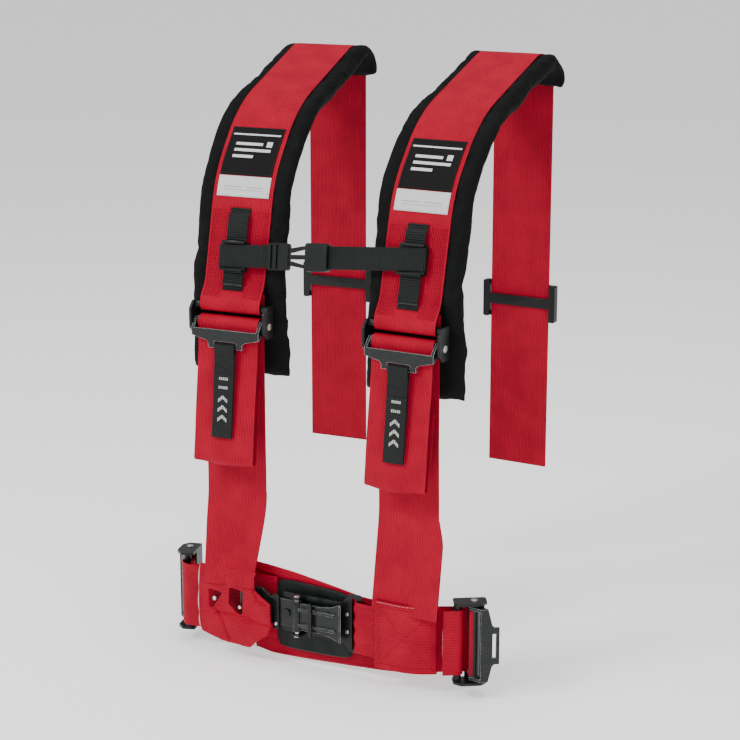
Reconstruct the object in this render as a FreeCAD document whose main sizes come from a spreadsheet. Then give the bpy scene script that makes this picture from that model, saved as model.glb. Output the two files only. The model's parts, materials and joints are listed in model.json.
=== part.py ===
"""Four-point racing harness with sewn-in shoulder pads and a latch-and-link buckle.

Millimetres and degrees. +X is to the right of someone facing the harness, -Y is its front and +Z is up.
The origin is midway between the two shoulder tails, at the height of their three-bar slides.
The straps stand as they do on a wearer: the tails hang in the plane y = 0, the shoulder straps
pass over the shoulders and come down in front to the lap belt.
"""
import FreeCAD, Part
import math
import os

V = FreeCAD.Vector

# ---------------------------------------------------------------------------
# Driving dimensions
# ---------------------------------------------------------------------------
SIZES = {
    "webbing_width": 76.2,
    "webbing_gauge": 1.6,
    "narrow_width": 25.4,
    "gathered_width": 60.0,
    "strap_spread": 123.0,
    "strap_turn": 2.75,
    "pad_width": 118.0,
    "pad_depth": 22.0,
    "cover_gauge": 1.0,
    "patch_width": 66.0,
    "patch_gauge": 0.8,
    "frame_width": 96.0,
    "wall_gauge": 3.0,
    "cam_length": 79.0,
    "arm_gauge": 3.0,
    "pin_length": 99.0,
    "lever_gauge": 2.2,
    "tab_width": 25.4,
    "slide_width": 94.0,
    "slide_bar": 3.0,
    "slider_width": 33.0,
    "clip_depth": 11.0,
    "prong_depth": 5.0,
    "latch_plate": 2.5,
    "link_gauge": 3.0,
    "latch_pin_length": 50.0,
    "junction_height": 80.0,
    "buckle_pad_gauge": 4.0,
}

doc = FreeCAD.newDocument("racing_harness")
sheet = doc.addObject("Spreadsheet::Sheet", "sizes")
for row, (alias, value) in enumerate(SIZES.items(), start=1):
    sheet.set(f"A{row}", alias)
    sheet.set(f"B{row}", str(value))
    sheet.setAlias(f"B{row}", alias)
doc.recompute()


def size(alias):
    """The value of one driving dimension, read from the sheet."""
    return float(getattr(sheet, alias))


# ---------------------------------------------------------------------------
# Outlines in a sketch plane: straight runs joined by tangent arcs
# ---------------------------------------------------------------------------
class Run:
    """One straight run, or one arc when it has a centre, that knows both of its ends."""

    def __init__(self, start, end, centre=None, turn=0.0):
        self.start, self.end, self.centre, self.turn = start, end, centre, turn
        self.side = math.copysign(1, turn)
        self.radius = (start - centre).Length if centre else 0.0
        self.length = self.radius * abs(turn) if centre else (end - start).Length

    def at(self, distance, lift=0.0):
        """The point at a distance along the run, moved to its left by the lift."""
        if self.centre is None:
            along = (self.end - self.start).normalize()
            return self.start + along * distance + V(-along.y, along.x, 0) * lift
        spoke = (self.start - self.centre).normalize()
        angle = math.atan2(spoke.y, spoke.x) + self.side * distance / self.radius
        return self.centre + V(math.cos(angle), math.sin(angle), 0) * (self.radius - self.side * lift)

    def edge(self, first, last, lift):
        if self.centre is None:
            return Part.LineSegment(self.at(first, lift), self.at(last, lift))
        middle = self.at((first + last) / 2, lift)
        return Part.Arc(self.at(first, lift), middle, self.at(last, lift))


class Route:
    """An open line through corner points, each corner rounded by its own radius."""

    def __init__(self, *corners):
        """Each corner is (x, y) or (x, y, radius)."""
        points = [V(c[0], c[1], 0) for c in corners]
        here = points[0]
        self.runs = []
        for before, corner, after, spec in zip(points, points[1:], points[2:], corners[1:]):
            along, away = (corner - before).normalize(), (after - corner).normalize()
            turn = math.atan2(along.x * away.y - along.y * away.x, along * away)
            reach = spec[2] * math.tan(abs(turn) / 2)
            start, end = corner - along * reach, corner + away * reach
            left = V(-along.y, along.x, 0) * math.copysign(spec[2], turn)
            self._add(Run(here, start))
            self._add(Run(start, end, start + left, turn))
            here = end
        self._add(Run(here, points[-1]))
        self.length = sum(run.length for run in self.runs)

    def _add(self, run):
        if run.length > 1e-6:
            self.runs.append(run)

    def at(self, distance, lift=0.0):
        for run in self.runs[:-1]:
            if distance <= run.length:
                return run.at(distance, lift)
            distance -= run.length
        return self.runs[-1].at(distance, lift)

    def crossing(self, level, axis, rising):
        """The last distance at which the route passes a level of x (axis 0) or y (axis 1)."""
        sign = 1 if rising else -1
        steps = 2000
        marks = [self.length * i / steps for i in range(steps + 1)]
        over = [sign * (self.at(mark)[axis] - level) for mark in marks]
        found = [i for i in range(steps) if over[i] <= 0 < over[i + 1]]
        return marks[found[-1]]

    def band(self, start, end, lift, gauge):
        """A closed loop: the stretch from start to end, between lift and lift + gauge to its left."""
        loop = []
        passed = 0.0
        for run in self.runs:
            first, last = max(start, passed) - passed, min(end, passed + run.length) - passed
            if last - first > 1e-4:
                loop += [run.edge(first, last, lift), run.edge(first, last, lift + gauge)]
            passed += run.length
        for end_mark in (start, end):
            loop.append(Part.LineSegment(self.at(end_mark, lift), self.at(end_mark, lift + gauge)))
        return loop


def rounded(points, radius):
    """A closed loop through corner points, every corner rounded by the same radius."""
    corners = [V(p[0], p[1], 0) for p in points]
    loop, ends = [], []
    for before, corner, after in zip(corners[-1:] + corners, corners, corners[1:] + corners[:1]):
        along, away = (corner - before).normalize(), (after - corner).normalize()
        turn = math.atan2(along.x * away.y - along.y * away.x, along * away)
        reach = radius * math.tan(abs(turn) / 2)
        start, end = corner - along * reach, corner + away * reach
        left = V(-along.y, along.x, 0) * math.copysign(radius, turn)
        run = Run(start, end, start + left, turn)
        loop.append(run.edge(0, run.length, 0))
        ends.append((start, end))
    for (_, here), (there, _) in zip(ends, ends[1:] + ends[:1]):
        if (there - here).Length > 1e-6:
            loop.append(Part.LineSegment(here, there))
    return loop


def polygon(points):
    corners = [V(p[0], p[1], 0) for p in points]
    return [Part.LineSegment(a, b) for a, b in zip(corners, corners[1:] + corners[:1])]


def box_loop(low_x, high_x, low_y, high_y, radius=0.0):
    points = [(low_x, low_y), (high_x, low_y), (high_x, high_y), (low_x, high_y)]
    return rounded(points, radius) if radius else polygon(points)


def circle(centre_x, centre_y, radius):
    return [Part.Circle(V(centre_x, centre_y, 0), V(0, 0, 1), radius)]


# ---------------------------------------------------------------------------
# Building one sub-part
# ---------------------------------------------------------------------------
class Piece:
    """A body built from pads and pockets, each symmetric about a plane parallel to an origin plane.

    A shift moves that plane: towards +X for YZ, towards -Y for XZ and towards +Z for XY.
    A length is a number, or the name of a driving dimension, or an expression of them.
    """

    made = []

    def __init__(self, name, placement=FreeCAD.Placement()):
        self.body = doc.addObject("PartDesign::Body", name)
        self.body.Label = name
        self.body.Placement = placement
        Piece.made.append(self.body)

    def _feature(self, kind, plane, loops, length, shift):
        name = self.body.Label
        sketch = self.body.newObject("Sketcher::SketchObject", f"{name}_sketch")
        support = next(f for f in self.body.Origin.OriginFeatures if f.Role == f"{plane}_Plane")
        sketch.AttachmentSupport = [(support, "")]
        sketch.MapMode = "FlatFace"
        sketch.AttachmentOffset = FreeCAD.Placement(V(0, 0, shift), FreeCAD.Rotation())
        for loop in loops:
            sketch.addGeometry(loop, False)
        feature = self.body.newObject(f"PartDesign::{kind}", f"{name}_{kind.lower()}")
        feature.Profile = sketch
        feature.SideType = "Symmetric"
        if isinstance(length, str):
            feature.setExpression("Length", length)
        else:
            feature.Length = length
        sketch.Visibility = False
        return self

    def pad(self, plane, loops, length, shift=0.0):
        return self._feature("Pad", plane, loops, length, shift)

    def pocket(self, plane, loops, length, shift=0.0):
        return self._feature("Pocket", plane, loops, length, shift)


def group(name, shapes, placement=FreeCAD.Placement()):
    """A node of several separate solids, such as a set of rivets."""
    feature = doc.addObject("Part::Feature", name)
    feature.Label = name
    feature.Shape = Part.makeCompound(shapes)
    feature.Placement = placement
    Piece.made.append(feature)


WIRE_SIDES = 10


def torsion_spring(name, placement, axis, start, radius, wire, turns, pitch):
    """A short coil round an axis, starting at a point of that axis."""
    coil = Part.makeHelix(pitch, pitch * turns, radius)
    spin = [2 * math.pi * corner / WIRE_SIDES for corner in range(WIRE_SIDES + 1)]
    rim = [V(radius + wire / 2 * math.cos(angle), 0, wire / 2 * math.sin(angle)) for angle in spin]
    section = Part.Wire(Part.makePolygon(rim))
    spring = Part.Wire(coil).makePipeShell([section], True, True)
    feature = doc.addObject("Part::Feature", name)
    feature.Label = name
    feature.Shape = spring
    feature.Placement = placement * FreeCAD.Placement(start, FreeCAD.Rotation(V(0, 0, 1), axis))
    Piece.made.append(feature)


GAUGE = size("webbing_gauge")
HALF_GAUGE = GAUGE / 2
SEAM_GAP = 0.1
SIDES = {"left": -1, "right": 1}

# ---------------------------------------------------------------------------
# Where things are, in the frame of one shoulder strap (across, back, up)
# ---------------------------------------------------------------------------
TAIL_END = -200.0
ADJUSTER_BACK = -266.0
ADJUSTER_UP = 3.0
FIXED_BAR = (-5.0, 17.0)
FIXED_BAR_RADIUS = 4.5
CAM_AXIS = (-8.0, -1.0)
CAM_RADIUS = 6.5
PIN_RADIUS = 2.5
PIN_PLAY = 0.05
WRAP_PLAY = 0.3
RING_CENTRE = (-21.9, -25.45)
RING_HOLE = 2.65
RING_RADIUS = 4.2


def strap_frame(side):
    """The frame of one shoulder strap, turned a little so that the straps close towards the front."""
    turn = FreeCAD.Rotation(V(0, 0, 1), -side * size("strap_turn"))
    return FreeCAD.Placement(V(side * size("strap_spread"), 0, 0), turn)


def shoulder_route():
    """The middle line of the shoulder webbing, from the end of its tail to the sewn return."""
    bar_back = ADJUSTER_BACK + FIXED_BAR[0]
    bar_up = ADJUSTER_UP + FIXED_BAR[1]
    wrap = FIXED_BAR_RADIUS + WRAP_PLAY + HALF_GAUGE
    return Route(
        (0, TAIL_END),
        (0, 310, 33),
        (-180, 236, 150),
        (-236.5, 164, 140),
        (-264, 46, 40),
        (bar_back - wrap, bar_up + 8, 20),
        (bar_back - wrap, bar_up - wrap, wrap),
        (bar_back + wrap, bar_up - wrap, wrap),
        (bar_back + wrap + 0.8, bar_up + 16),
    )


def pad_route():
    """The front face of the shoulder pad follows the webbing, then leaves it above the adjuster."""
    return Route((0, 256), (0, 310, 33), (-180, 236, 150), (-236.5, 164, 140), (-261.95, 54, 60), (-260.5, -60))


def lower_route():
    """The lower webbing: up from the lap belt, over the cam and down into its hanging loop."""
    cam_back = ADJUSTER_BACK + CAM_AXIS[0]
    cam_up = ADJUSTER_UP + CAM_AXIS[1]
    wrap = CAM_RADIUS + WRAP_PLAY + HALF_GAUGE
    return Route(
        (-279, -290),
        (-264.5, -195, 150),
        (cam_back + wrap, -110, 300),
        (cam_back + wrap, cam_up + wrap, wrap),
        (cam_back - wrap, cam_up + wrap, wrap),
        (cam_back - wrap, -28, 80),
        (-300, -158.5, 5.5),
        (-288.5, -157, 5.5),
        (-277, -70),
    )


SHOULDER = shoulder_route()
PAD_LINE = pad_route()
LOWER = lower_route()


# ---------------------------------------------------------------------------
# Shoulder straps
# ---------------------------------------------------------------------------
def shoulder_webbing(name, side):
    piece = Piece(f"shoulder_webbing_{name}", strap_frame(side))
    piece.pad("YZ", [SHOULDER.band(0, SHOULDER.length, -HALF_GAUGE, GAUGE)], "sizes.webbing_width")


def shoulder_pad(name, side):
    """A fabric cover sewn round a foam core, closed on every side."""
    depth, skin = size("pad_depth"), size("cover_gauge")
    lift = HALF_GAUGE + SEAM_GAP
    cover = Piece(f"pad_cover_{name}", strap_frame(side))
    cover.pad("YZ", [PAD_LINE.band(0, PAD_LINE.length, lift, depth)], "sizes.pad_width")
    inner = PAD_LINE.band(skin, PAD_LINE.length - skin, lift + skin, depth - 2 * skin)
    cover.pocket("YZ", [inner], "sizes.pad_width - 2 * sizes.cover_gauge")
    play = 0.05
    inset = skin + play
    core = PAD_LINE.band(inset, PAD_LINE.length - inset, lift + inset, depth - 2 * inset)
    foam = Piece(f"pad_foam_{name}", strap_frame(side))
    foam.pad("YZ", [core], "sizes.pad_width - 2 * sizes.cover_gauge - 0.1")


def front_level(up):
    """How far along the shoulder webbing its front comes down to a height."""
    return SHOULDER.crossing(up, 1, rising=False)


def label_patches(name, side):
    """A dark patch and a pale tag below it, sewn to the front of the webbing."""
    gauge = size("patch_gauge")
    lift = -HALF_GAUGE - SEAM_GAP - gauge
    for kind, top, foot in (("label_patch", 212, 163), ("label_tag", 162, 140)):
        patch = SHOULDER.band(front_level(top), front_level(foot), lift, gauge)
        piece = Piece(f"{kind}_{name}", strap_frame(side))
        piece.pad("YZ", [patch], "sizes.patch_width")


RAIL_TOP = front_level(128)
RAIL_FOOT = front_level(38)
RAIL_LIFT = 4.6


def chest_rail(name, side):
    """A narrow webbing sewn down at both ends and standing clear between them, for the slider."""
    low, high = HALF_GAUGE + SEAM_GAP, RAIL_LIFT
    foot, ramp = 5.0, 9.0
    marks = [(0, low), (foot, low), (ramp, high)]
    inner = [SHOULDER.at(RAIL_TOP + along, -lift) for along, lift in marks]
    inner += [SHOULDER.at(RAIL_FOOT - along, -lift) for along, lift in marks[::-1]]
    outer = [SHOULDER.at(RAIL_TOP + along, -lift - GAUGE) for along, lift in marks]
    outer += [SHOULDER.at(RAIL_FOOT - along, -lift - GAUGE) for along, lift in marks[::-1]]
    piece = Piece(f"chest_rail_{name}", strap_frame(side))
    piece.pad("YZ", [polygon(inner + outer[::-1])], "sizes.narrow_width")


# ---------------------------------------------------------------------------
# Chest strap: it lies in the plane of the rails, lower at its left-hand end
# ---------------------------------------------------------------------------
CHEST_MIDDLE = SHOULDER.at((RAIL_TOP + RAIL_FOOT) / 2)
CHEST_LINE = (SHOULDER.at(RAIL_FOOT - 12) - SHOULDER.at(RAIL_TOP + 12)).normalize()
CHEST_TILT = FreeCAD.Rotation(V(1, 0, 0), math.degrees(math.atan2(CHEST_LINE.x, -CHEST_LINE.y)))
CHEST_ROLL = -4.0
CHEST_STRAP_LIFT = 9.6
SLIDER_HALF_HEIGHT = 17.0


def chest_frame():
    roll = FreeCAD.Rotation(V(0, 1, 0), CHEST_ROLL)
    return FreeCAD.Placement(V(0, CHEST_MIDDLE.x, CHEST_MIDDLE.y), CHEST_TILT * roll)


def slider_across(side):
    return strap_frame(side).multVec(V(0, CHEST_MIDDLE.x, 0)).x


def slider_frame(side):
    """On its own rail and square to it, at the height the strap has there."""
    plane = FreeCAD.Placement(V(0, CHEST_MIDDLE.x, CHEST_MIDDLE.y), CHEST_TILT)
    across = slider_across(side)
    rise = -across * math.tan(math.radians(CHEST_ROLL))
    return FreeCAD.Placement(plane.multVec(V(across, 0, rise)), CHEST_TILT)


def chest_slider(name, side):
    """A moulded slider: a tunnel for the rail behind, a lip above and below the chest strap in front."""
    half = size("slider_width") / 2
    tall = SLIDER_HALF_HEIGHT
    piece = Piece(f"chest_slider_{name}", slider_frame(side))
    piece.pad("XZ", [box_loop(-half, half, -tall, tall, 3)], 6.3, 5.25)
    piece.pocket("XY", [box_loop(-13.4, 13.4, -7.2, -3.6)], 3 * tall)
    lips = [box_loop(-14.5, 14.5, 14.4, tall), box_loop(-14.5, 14.5, -tall, -14.4)]
    piece.pad("XZ", lips, 4.2, 10.5)


CLIP_MALE_END = -64.0
CLIP_MALE_NECK = -44.0
CLIP_BODY_END = -38.2
CLIP_MOUTH = -16.0
CLIP_FEMALE_END = 11.0


def chest_straps():
    """The two halves of the chest strap, each from its slider to its half of the clip."""
    tail = 17.0
    stretches = {
        "left": (slider_across(-1) - tail, CLIP_MALE_NECK - 6),
        "right": (CLIP_FEMALE_END - 6, slider_across(1) + tail),
    }
    for name, (start, end) in stretches.items():
        piece = Piece(f"chest_strap_{name}", chest_frame())
        piece.pad("XZ", [box_loop(start, end, -12.7, 12.7)], "sizes.webbing_gauge", CHEST_STRAP_LIFT)


def clip_male():
    """The ladder half of the side-release clip, with its middle tongue."""
    piece = Piece("clip_male", chest_frame())
    piece.pad("XZ", [box_loop(CLIP_MALE_END, CLIP_BODY_END, -15, 15, 3)], 8.0, CHEST_STRAP_LIFT)
    slot = box_loop(-CHEST_STRAP_LIFT - 1.2, -CHEST_STRAP_LIFT + 1.2, -13.2, 13.2)
    piece.pocket("YZ", [slot], 2 * (CLIP_MALE_NECK - CLIP_MALE_END - 3), CLIP_MALE_END)
    windows = [box_loop(-60, -56.5, -13.2, 13.2), box_loop(-53, -49.5, -13.2, 13.2)]
    piece.pocket("XZ", windows, 4.0, CHEST_STRAP_LIFT + 4)
    piece.pad("XZ", [box_loop(CLIP_BODY_END - 1, -3, -2.5, 2.5)], "sizes.prong_depth", CHEST_STRAP_LIFT)


def clip_female():
    """The socket half of the clip: a mouth for the prongs, a window each side and a slot for its strap."""
    half = 15.5
    piece = Piece("clip_female", chest_frame())
    shell = box_loop(CLIP_MOUTH, CLIP_FEMALE_END, -half, half, 3)
    piece.pad("XZ", [shell], "sizes.clip_depth", CHEST_STRAP_LIFT)
    mouth = box_loop(-CHEST_STRAP_LIFT - 3.4, -CHEST_STRAP_LIFT + 3.4, -12.6, 12.6)
    piece.pocket("YZ", [mouth], 2 * 19.0, CLIP_MOUTH)
    piece.pocket("XZ", [box_loop(-11, 0, -2 * half, 2 * half)], 6.8, CHEST_STRAP_LIFT)
    slot = box_loop(-CHEST_STRAP_LIFT - 1.2, -CHEST_STRAP_LIFT + 1.2, -13.2, 13.2)
    piece.pocket("YZ", [slot], 2 * 7.0, CLIP_FEMALE_END)


def clip_prong(name, up):
    """A barbed arm that is squeezed towards the middle to open the clip."""
    outline = [(-37.5, 5), (-36.5, 9.5), (-20, 12.2), (-11, 12.2), (-9, 14.4), (-4, 14.2), (-1, 9.5)]
    outline += [(-1.5, 7.5), (-8, 9), (-20, 8.3), (-35, 4.6)]
    piece = Piece(f"clip_prong_{name}", chest_frame())
    loop = [(x, up * z) for x, z in outline]
    piece.pad("XZ", [polygon(loop)], "sizes.prong_depth", CHEST_STRAP_LIFT)


# ---------------------------------------------------------------------------
# Lever adjusters: two on the shoulders, two on the lap belt
# ---------------------------------------------------------------------------
def adjuster(name, placement):
    frame = Piece(f"{name}_frame", placement)
    half = size("frame_width") / 2
    wall = size("wall_gauge")
    outline = rounded([(3, -15), (3, 22), (-12, 22), (-19, 14), (-19, -8), (-12, -15)], 3)
    frame.pad("XZ", [box_loop(-half, half, -14, 8)], 2.0, -2.0)
    for hand in (-1, 1):
        frame.pad("YZ", [outline], "sizes.wall_gauge", hand * (half - wall / 2))
    frame.pad("YZ", [circle(*FIXED_BAR, FIXED_BAR_RADIUS)], "sizes.frame_width")
    frame.pocket("YZ", [circle(*CAM_AXIS, PIN_RADIUS)], 2 * half + 1)

    pin = Piece(f"{name}_pin", placement)
    pin.pad("YZ", [circle(*CAM_AXIS, PIN_RADIUS)], "sizes.pin_length")
    head = 1.2
    for hand in (-1, 1):
        pin.pad("YZ", [circle(*CAM_AXIS, 4.0)], head, hand * (half + head / 2))

    lever = Piece(f"{name}_lever", placement)
    lever.pad("YZ", [circle(*CAM_AXIS, CAM_RADIUS)], "sizes.cam_length")
    arm = [(-2.5, 4), (-13, 5), (-23, -6), (-23, -15), (-20.8, -15), (-16, -11), (-5, -6.5), (-2.5, -5)]
    arm_middle = size("cam_length") / 2 + size("arm_gauge") / 2
    for hand in (-1, 1):
        lever.pad("YZ", [polygon(arm)], "sizes.arm_gauge", hand * arm_middle)
    reach = size("cam_length") / 2 + size("arm_gauge")
    right = [(reach, -6.5), (reach, -15), (24, -19.5), (21.5, -22), (21.5, -27.5)]
    left = [(-x, z) for x, z in right[::-1]]
    slot = box_loop(-14, 14, -23.4, -19.8)
    lever.pad("XZ", [polygon(right + left), slot], "sizes.lever_gauge", -RING_CENTRE[0])
    lever.pocket("YZ", [circle(*CAM_AXIS, PIN_RADIUS + PIN_PLAY)], 2 * half)

    torsion_spring(
        f"{name}_spring",
        placement,
        axis=V(1, 0, 0),
        start=V(reach + 0.6, *CAM_AXIS),
        radius=3.7,
        wire=0.7,
        turns=1.5,
        pitch=0.85,
    )


def shoulder_adjuster_frame(side):
    return strap_frame(side) * FreeCAD.Placement(V(0, ADJUSTER_BACK, ADJUSTER_UP), FreeCAD.Rotation())


BELT_UP = -332.0
LAP_PLACE = {-1: (-183.0, -243.0, math.radians(75)), 1: (180.0, -246.0, math.radians(33))}


def lap_adjuster_frame(side):
    """The adjuster lies on its side, its fixed bar towards the buckle and its lever outboard."""
    x, y, yaw = LAP_PLACE[side]
    inboard = V(-side * math.cos(yaw), -math.sin(yaw), 0)
    back = V(-side * math.sin(yaw), math.cos(yaw), 0)
    turn = FreeCAD.Rotation(V(0, 0, side), back, inboard, "ZYX")
    return FreeCAD.Placement(V(x, y, BELT_UP), turn)


def pull_tab(name, side):
    """A webbing tab folded round the lever's tongue; it hangs in front of the strap's loop."""
    foot_back, foot_up, half = -33.6, -128.0, 1.5
    piece = Piece(f"pull_tab_{name}", shoulder_adjuster_frame(side))
    down = V(foot_back - RING_CENTRE[0], foot_up - RING_CENTRE[1], 0).normalize()
    across = V(-down.y, down.x, 0) * half
    top = V(*RING_CENTRE, 0) + down * (RING_HOLE + 0.7)
    foot = V(foot_back, foot_up, 0)
    strip = [top + across, foot + across, foot - across, top - across]
    piece.pad("YZ", [circle(*RING_CENTRE, RING_RADIUS), circle(*RING_CENTRE, RING_HOLE)], "sizes.tab_width")
    piece.pad("YZ", [polygon(strip)], "sizes.tab_width")


# ---------------------------------------------------------------------------
# Lower straps, lap belt and what is sewn where they meet
# ---------------------------------------------------------------------------
def lower_webbing(name, side):
    piece = Piece(f"lower_webbing_{name}", strap_frame(side))
    piece.pad("YZ", [LOWER.band(0, LOWER.length, -HALF_GAUGE, GAUGE)], "sizes.webbing_width")


def sewn_end(name, side):
    """The strap's end folded back and sewn over itself above the lap belt."""
    fold_up = -195.0
    start, end = LOWER.crossing(-288, 1, rising=True), LOWER.crossing(fold_up, 1, rising=True)
    piece = Piece(f"sewn_end_{name}", strap_frame(side))
    piece.pad("YZ", [LOWER.band(start, end, HALF_GAUGE + SEAM_GAP, GAUGE)], "sizes.webbing_width")


def lap_point(side, back, along):
    """A point of the lap adjuster's own frame, as a point (x, y) of the plan."""
    point = lap_adjuster_frame(side).multVec(V(0, back, along))
    return point.x, point.y


def lap_bar_corners(side):
    """Round the adjuster's fixed bar: behind it, outboard, and back over its front."""
    wrap = FIXED_BAR_RADIUS + WRAP_PLAY + HALF_GAUGE
    behind, before, turn_at = FIXED_BAR[0] + wrap, FIXED_BAR[0] - wrap, FIXED_BAR[1] - wrap
    return [(*lap_point(side, behind, turn_at), wrap), (*lap_point(side, before, turn_at), wrap)]


LATCH = V(0, -270, -330)
LATCH_BAR = (51.7, -271.25)
LATCH_WRAP = 4.7
GATHER_END = 72.0


def lap_webbing_right():
    """Round the latch's bar, where it is gathered, then out to the adjuster."""
    bar_x, bar_y = LATCH_BAR
    route = Route(
        (100, bar_y + LATCH_WRAP + 1),
        (70, bar_y + LATCH_WRAP, 40),
        (bar_x - LATCH_WRAP, bar_y + LATCH_WRAP, LATCH_WRAP),
        (bar_x - LATCH_WRAP, bar_y - LATCH_WRAP, LATCH_WRAP),
        (84, -279.5, 60),
        (*lap_point(1, 0.6, 66.6), 60),
        *lap_bar_corners(1),
        lap_point(1, -10.6, 34),
    )
    split = route.crossing(GATHER_END, 0, rising=True)
    lift = -HALF_GAUGE
    piece = Piece("lap_webbing_right")
    piece.pad("XY", [route.band(split, route.length, lift, GAUGE)], "sizes.webbing_width", BELT_UP)
    piece.pad("XY", [route.band(0, split, lift, GAUGE)], "sizes.gathered_width", BELT_UP)
    return route


def lap_webbing_left():
    """From behind the link out to the hip, round it into the adjuster and back over its own front."""
    route = Route(
        (-67, -262),
        (-95, -266, 50),
        (*lap_point(-1, 0.6, 30), 14),
        *lap_bar_corners(-1),
        (*lap_point(-1, -10.6, 29.7), 15),
        (-155, -272.3),
    )
    piece = Piece("lap_webbing_left")
    piece.pad("XY", [route.band(0, route.length, -HALF_GAUGE, GAUGE)], "sizes.webbing_width", BELT_UP)


def lap_tail(name, side):
    """The running webbing: from behind the belt it goes outboard round the cam and back over its front."""
    wrap = CAM_RADIUS + WRAP_PLAY + HALF_GAUGE
    back, front, outboard = CAM_AXIS[0] + wrap, CAM_AXIS[0] - wrap, CAM_AXIS[1] - wrap
    entry = [(45.2, 36.2), (2.9, 28.1, 10)] if side < 0 else [(5.5, 46)]
    route = Route(
        *entry,
        (3.5, 18, 6),
        (back, 8.8, 6),
        (back, outboard, wrap),
        (front, outboard, wrap),
        (front, 5),
    )
    piece = Piece(f"lap_tail_{name}", lap_adjuster_frame(side))
    piece.pad("YZ", [route.band(0, route.length, -HALF_GAUGE, GAUGE)], "sizes.webbing_width")


def junction_right(route):
    """A square of webbing box-stitched over the end of the lower strap."""
    start, end = route.crossing(77, 0, rising=True), route.crossing(147, 0, rising=True)
    piece = Piece("junction_right")
    gauge = 2.0
    lift = -HALF_GAUGE - SEAM_GAP - gauge
    piece.pad("XY", [route.band(start, end, lift, gauge)], "sizes.junction_height", BELT_UP)


def junction_left():
    """The folded webbing pocket that holds the link, with the gaps its folds leave."""
    outline = [(-150, 48), (-73, 48), (-77, 40), (-80, 28), (-67, 19), (-55.5, 12), (-55, -14)]
    outline += [(-60, -26), (-76, -38), (-84, -46), (-120, -44), (-150, -36), (-152, -14)]
    piece = Piece("junction_left", FreeCAD.Placement(V(0, -285.6, BELT_UP), FreeCAD.Rotation()))
    window = rounded([(-110, 24), (-92.5, 21), (-94.3, -7.5), (-100, -6), (-111.7, 4)], 1.5)
    corner_gap = rounded([(-138.8, 18), (-121, 15), (-136.6, -7.6)], 1.5)
    piece.pad("XZ", [rounded(outline, 1.5), window, corner_gap], 2.4)


def backing_panel():
    """The red panel behind the buckle, deeper on the link's side."""
    piece = Piece("backing_panel", FreeCAD.Placement(V(0, -257, -326), FreeCAD.Rotation()))
    outline = [(-96, 47), (-32, 38), (50, 24), (116, 22), (116, -58), (-70, -66), (-96, -64)]
    piece.pad("XZ", [rounded(outline, 4)], "sizes.webbing_gauge")


def buckle_pad():
    """The black vinyl pad between the buckle and the panel."""
    piece = Piece("buckle_pad", FreeCAD.Placement(V(0, -262.4, -325), FreeCAD.Rotation()))
    outline = [(-57, 31), (39, 26), (40, -53), (-64, -54)]
    piece.pad("XZ", [rounded(outline, 4)], "sizes.buckle_pad_gauge")


# ---------------------------------------------------------------------------
# Latch-and-link buckle, in a frame whose -Y is out of its base plate
# ---------------------------------------------------------------------------
LATCH_AXIS = (-24.0, 10.0)
STUD = (-40.0, 0.0)
STUD_RADIUS = 5.0
LINK_BAR_FACE = 8.8
EAR_INNER = 21.0
EAR_OUTER = 23.5


def latch_base():
    """The base plate: ears for the lever's pin, a stud for the link and a bar for the webbing."""
    plate = size("latch_plate")
    piece = Piece("latch_base", FreeCAD.Placement(LATCH, FreeCAD.Rotation()))
    top = [(-48, 23.5), (30, 23.5), (40, 35), (55, 35)]
    outline = rounded(top + [(x, -z) for x, z in top[::-1]], 3)
    slot = box_loop(43, 48.4, -31, 31, 2)
    piece.pad("XZ", [outline, slot], "sizes.latch_plate", plate / 2)
    ear = [(-31, 0.5 - plate), (-17, 0.5 - plate), (-19, -14.8), (-29, -14.8)]
    for up in (-1, 1):
        piece.pad("XY", [polygon(ear)], EAR_OUTER - EAR_INNER, up * (EAR_INNER + EAR_OUTER) / 2)
    piece.pocket("XY", [circle(LATCH_AXIS[0], -LATCH_AXIS[1], PIN_RADIUS)], 3 * EAR_OUTER)
    piece.pad("XZ", [circle(*STUD, STUD_RADIUS)], 6.0, plate + 2.9)


def latch_pin():
    piece = Piece("latch_pin", FreeCAD.Placement(LATCH, FreeCAD.Rotation()))
    piece.pad("XY", [circle(LATCH_AXIS[0], -LATCH_AXIS[1], PIN_RADIUS)], "sizes.latch_pin_length")
    head = 1.2
    for up in (-1, 1):
        piece.pad("XY", [circle(LATCH_AXIS[0], -LATCH_AXIS[1], 4)], head, up * (EAR_OUTER + head / 2))


def latch_lever():
    """The lever: a hub on the pin, a flared paddle, two ribs along it and a curled lip."""
    piece = Piece("latch_lever", FreeCAD.Placement(LATCH, FreeCAD.Rotation()))
    hub_x, hub_out = LATCH_AXIS
    hub_half = 18.0
    piece.pad("XY", [circle(hub_x, -hub_out, 5.2)], 2 * hub_half)
    top = [(hub_x, 16), (6, 16), (20, 18), (32, 23)]
    paddle = polygon(top + [(x, -z) for x, z in top[::-1]])
    piece.pad("XZ", [paddle], 2.4, 9.8)
    piece.pad("XZ", [box_loop(-20, 25, 8, 11), box_loop(-20, 25, -11, -8)], 3.4, 12.5)
    lip = [(30, -8.7), (32, -8.7), (34.5, -14), (32.5, -14.5)]
    piece.pad("XY", [polygon(lip)], 44.0)
    piece.pocket("XY", [circle(hub_x, -hub_out, PIN_RADIUS + PIN_PLAY)], 3 * hub_half)


def latch_crossbar():
    """A flat bar across the lever's ribs."""
    piece = Piece("latch_crossbar", FreeCAD.Placement(LATCH, FreeCAD.Rotation()))
    piece.pad("XZ", [box_loop(-6.5, -2, -20, 20, 1)], 2.4, 15.5)


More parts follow.
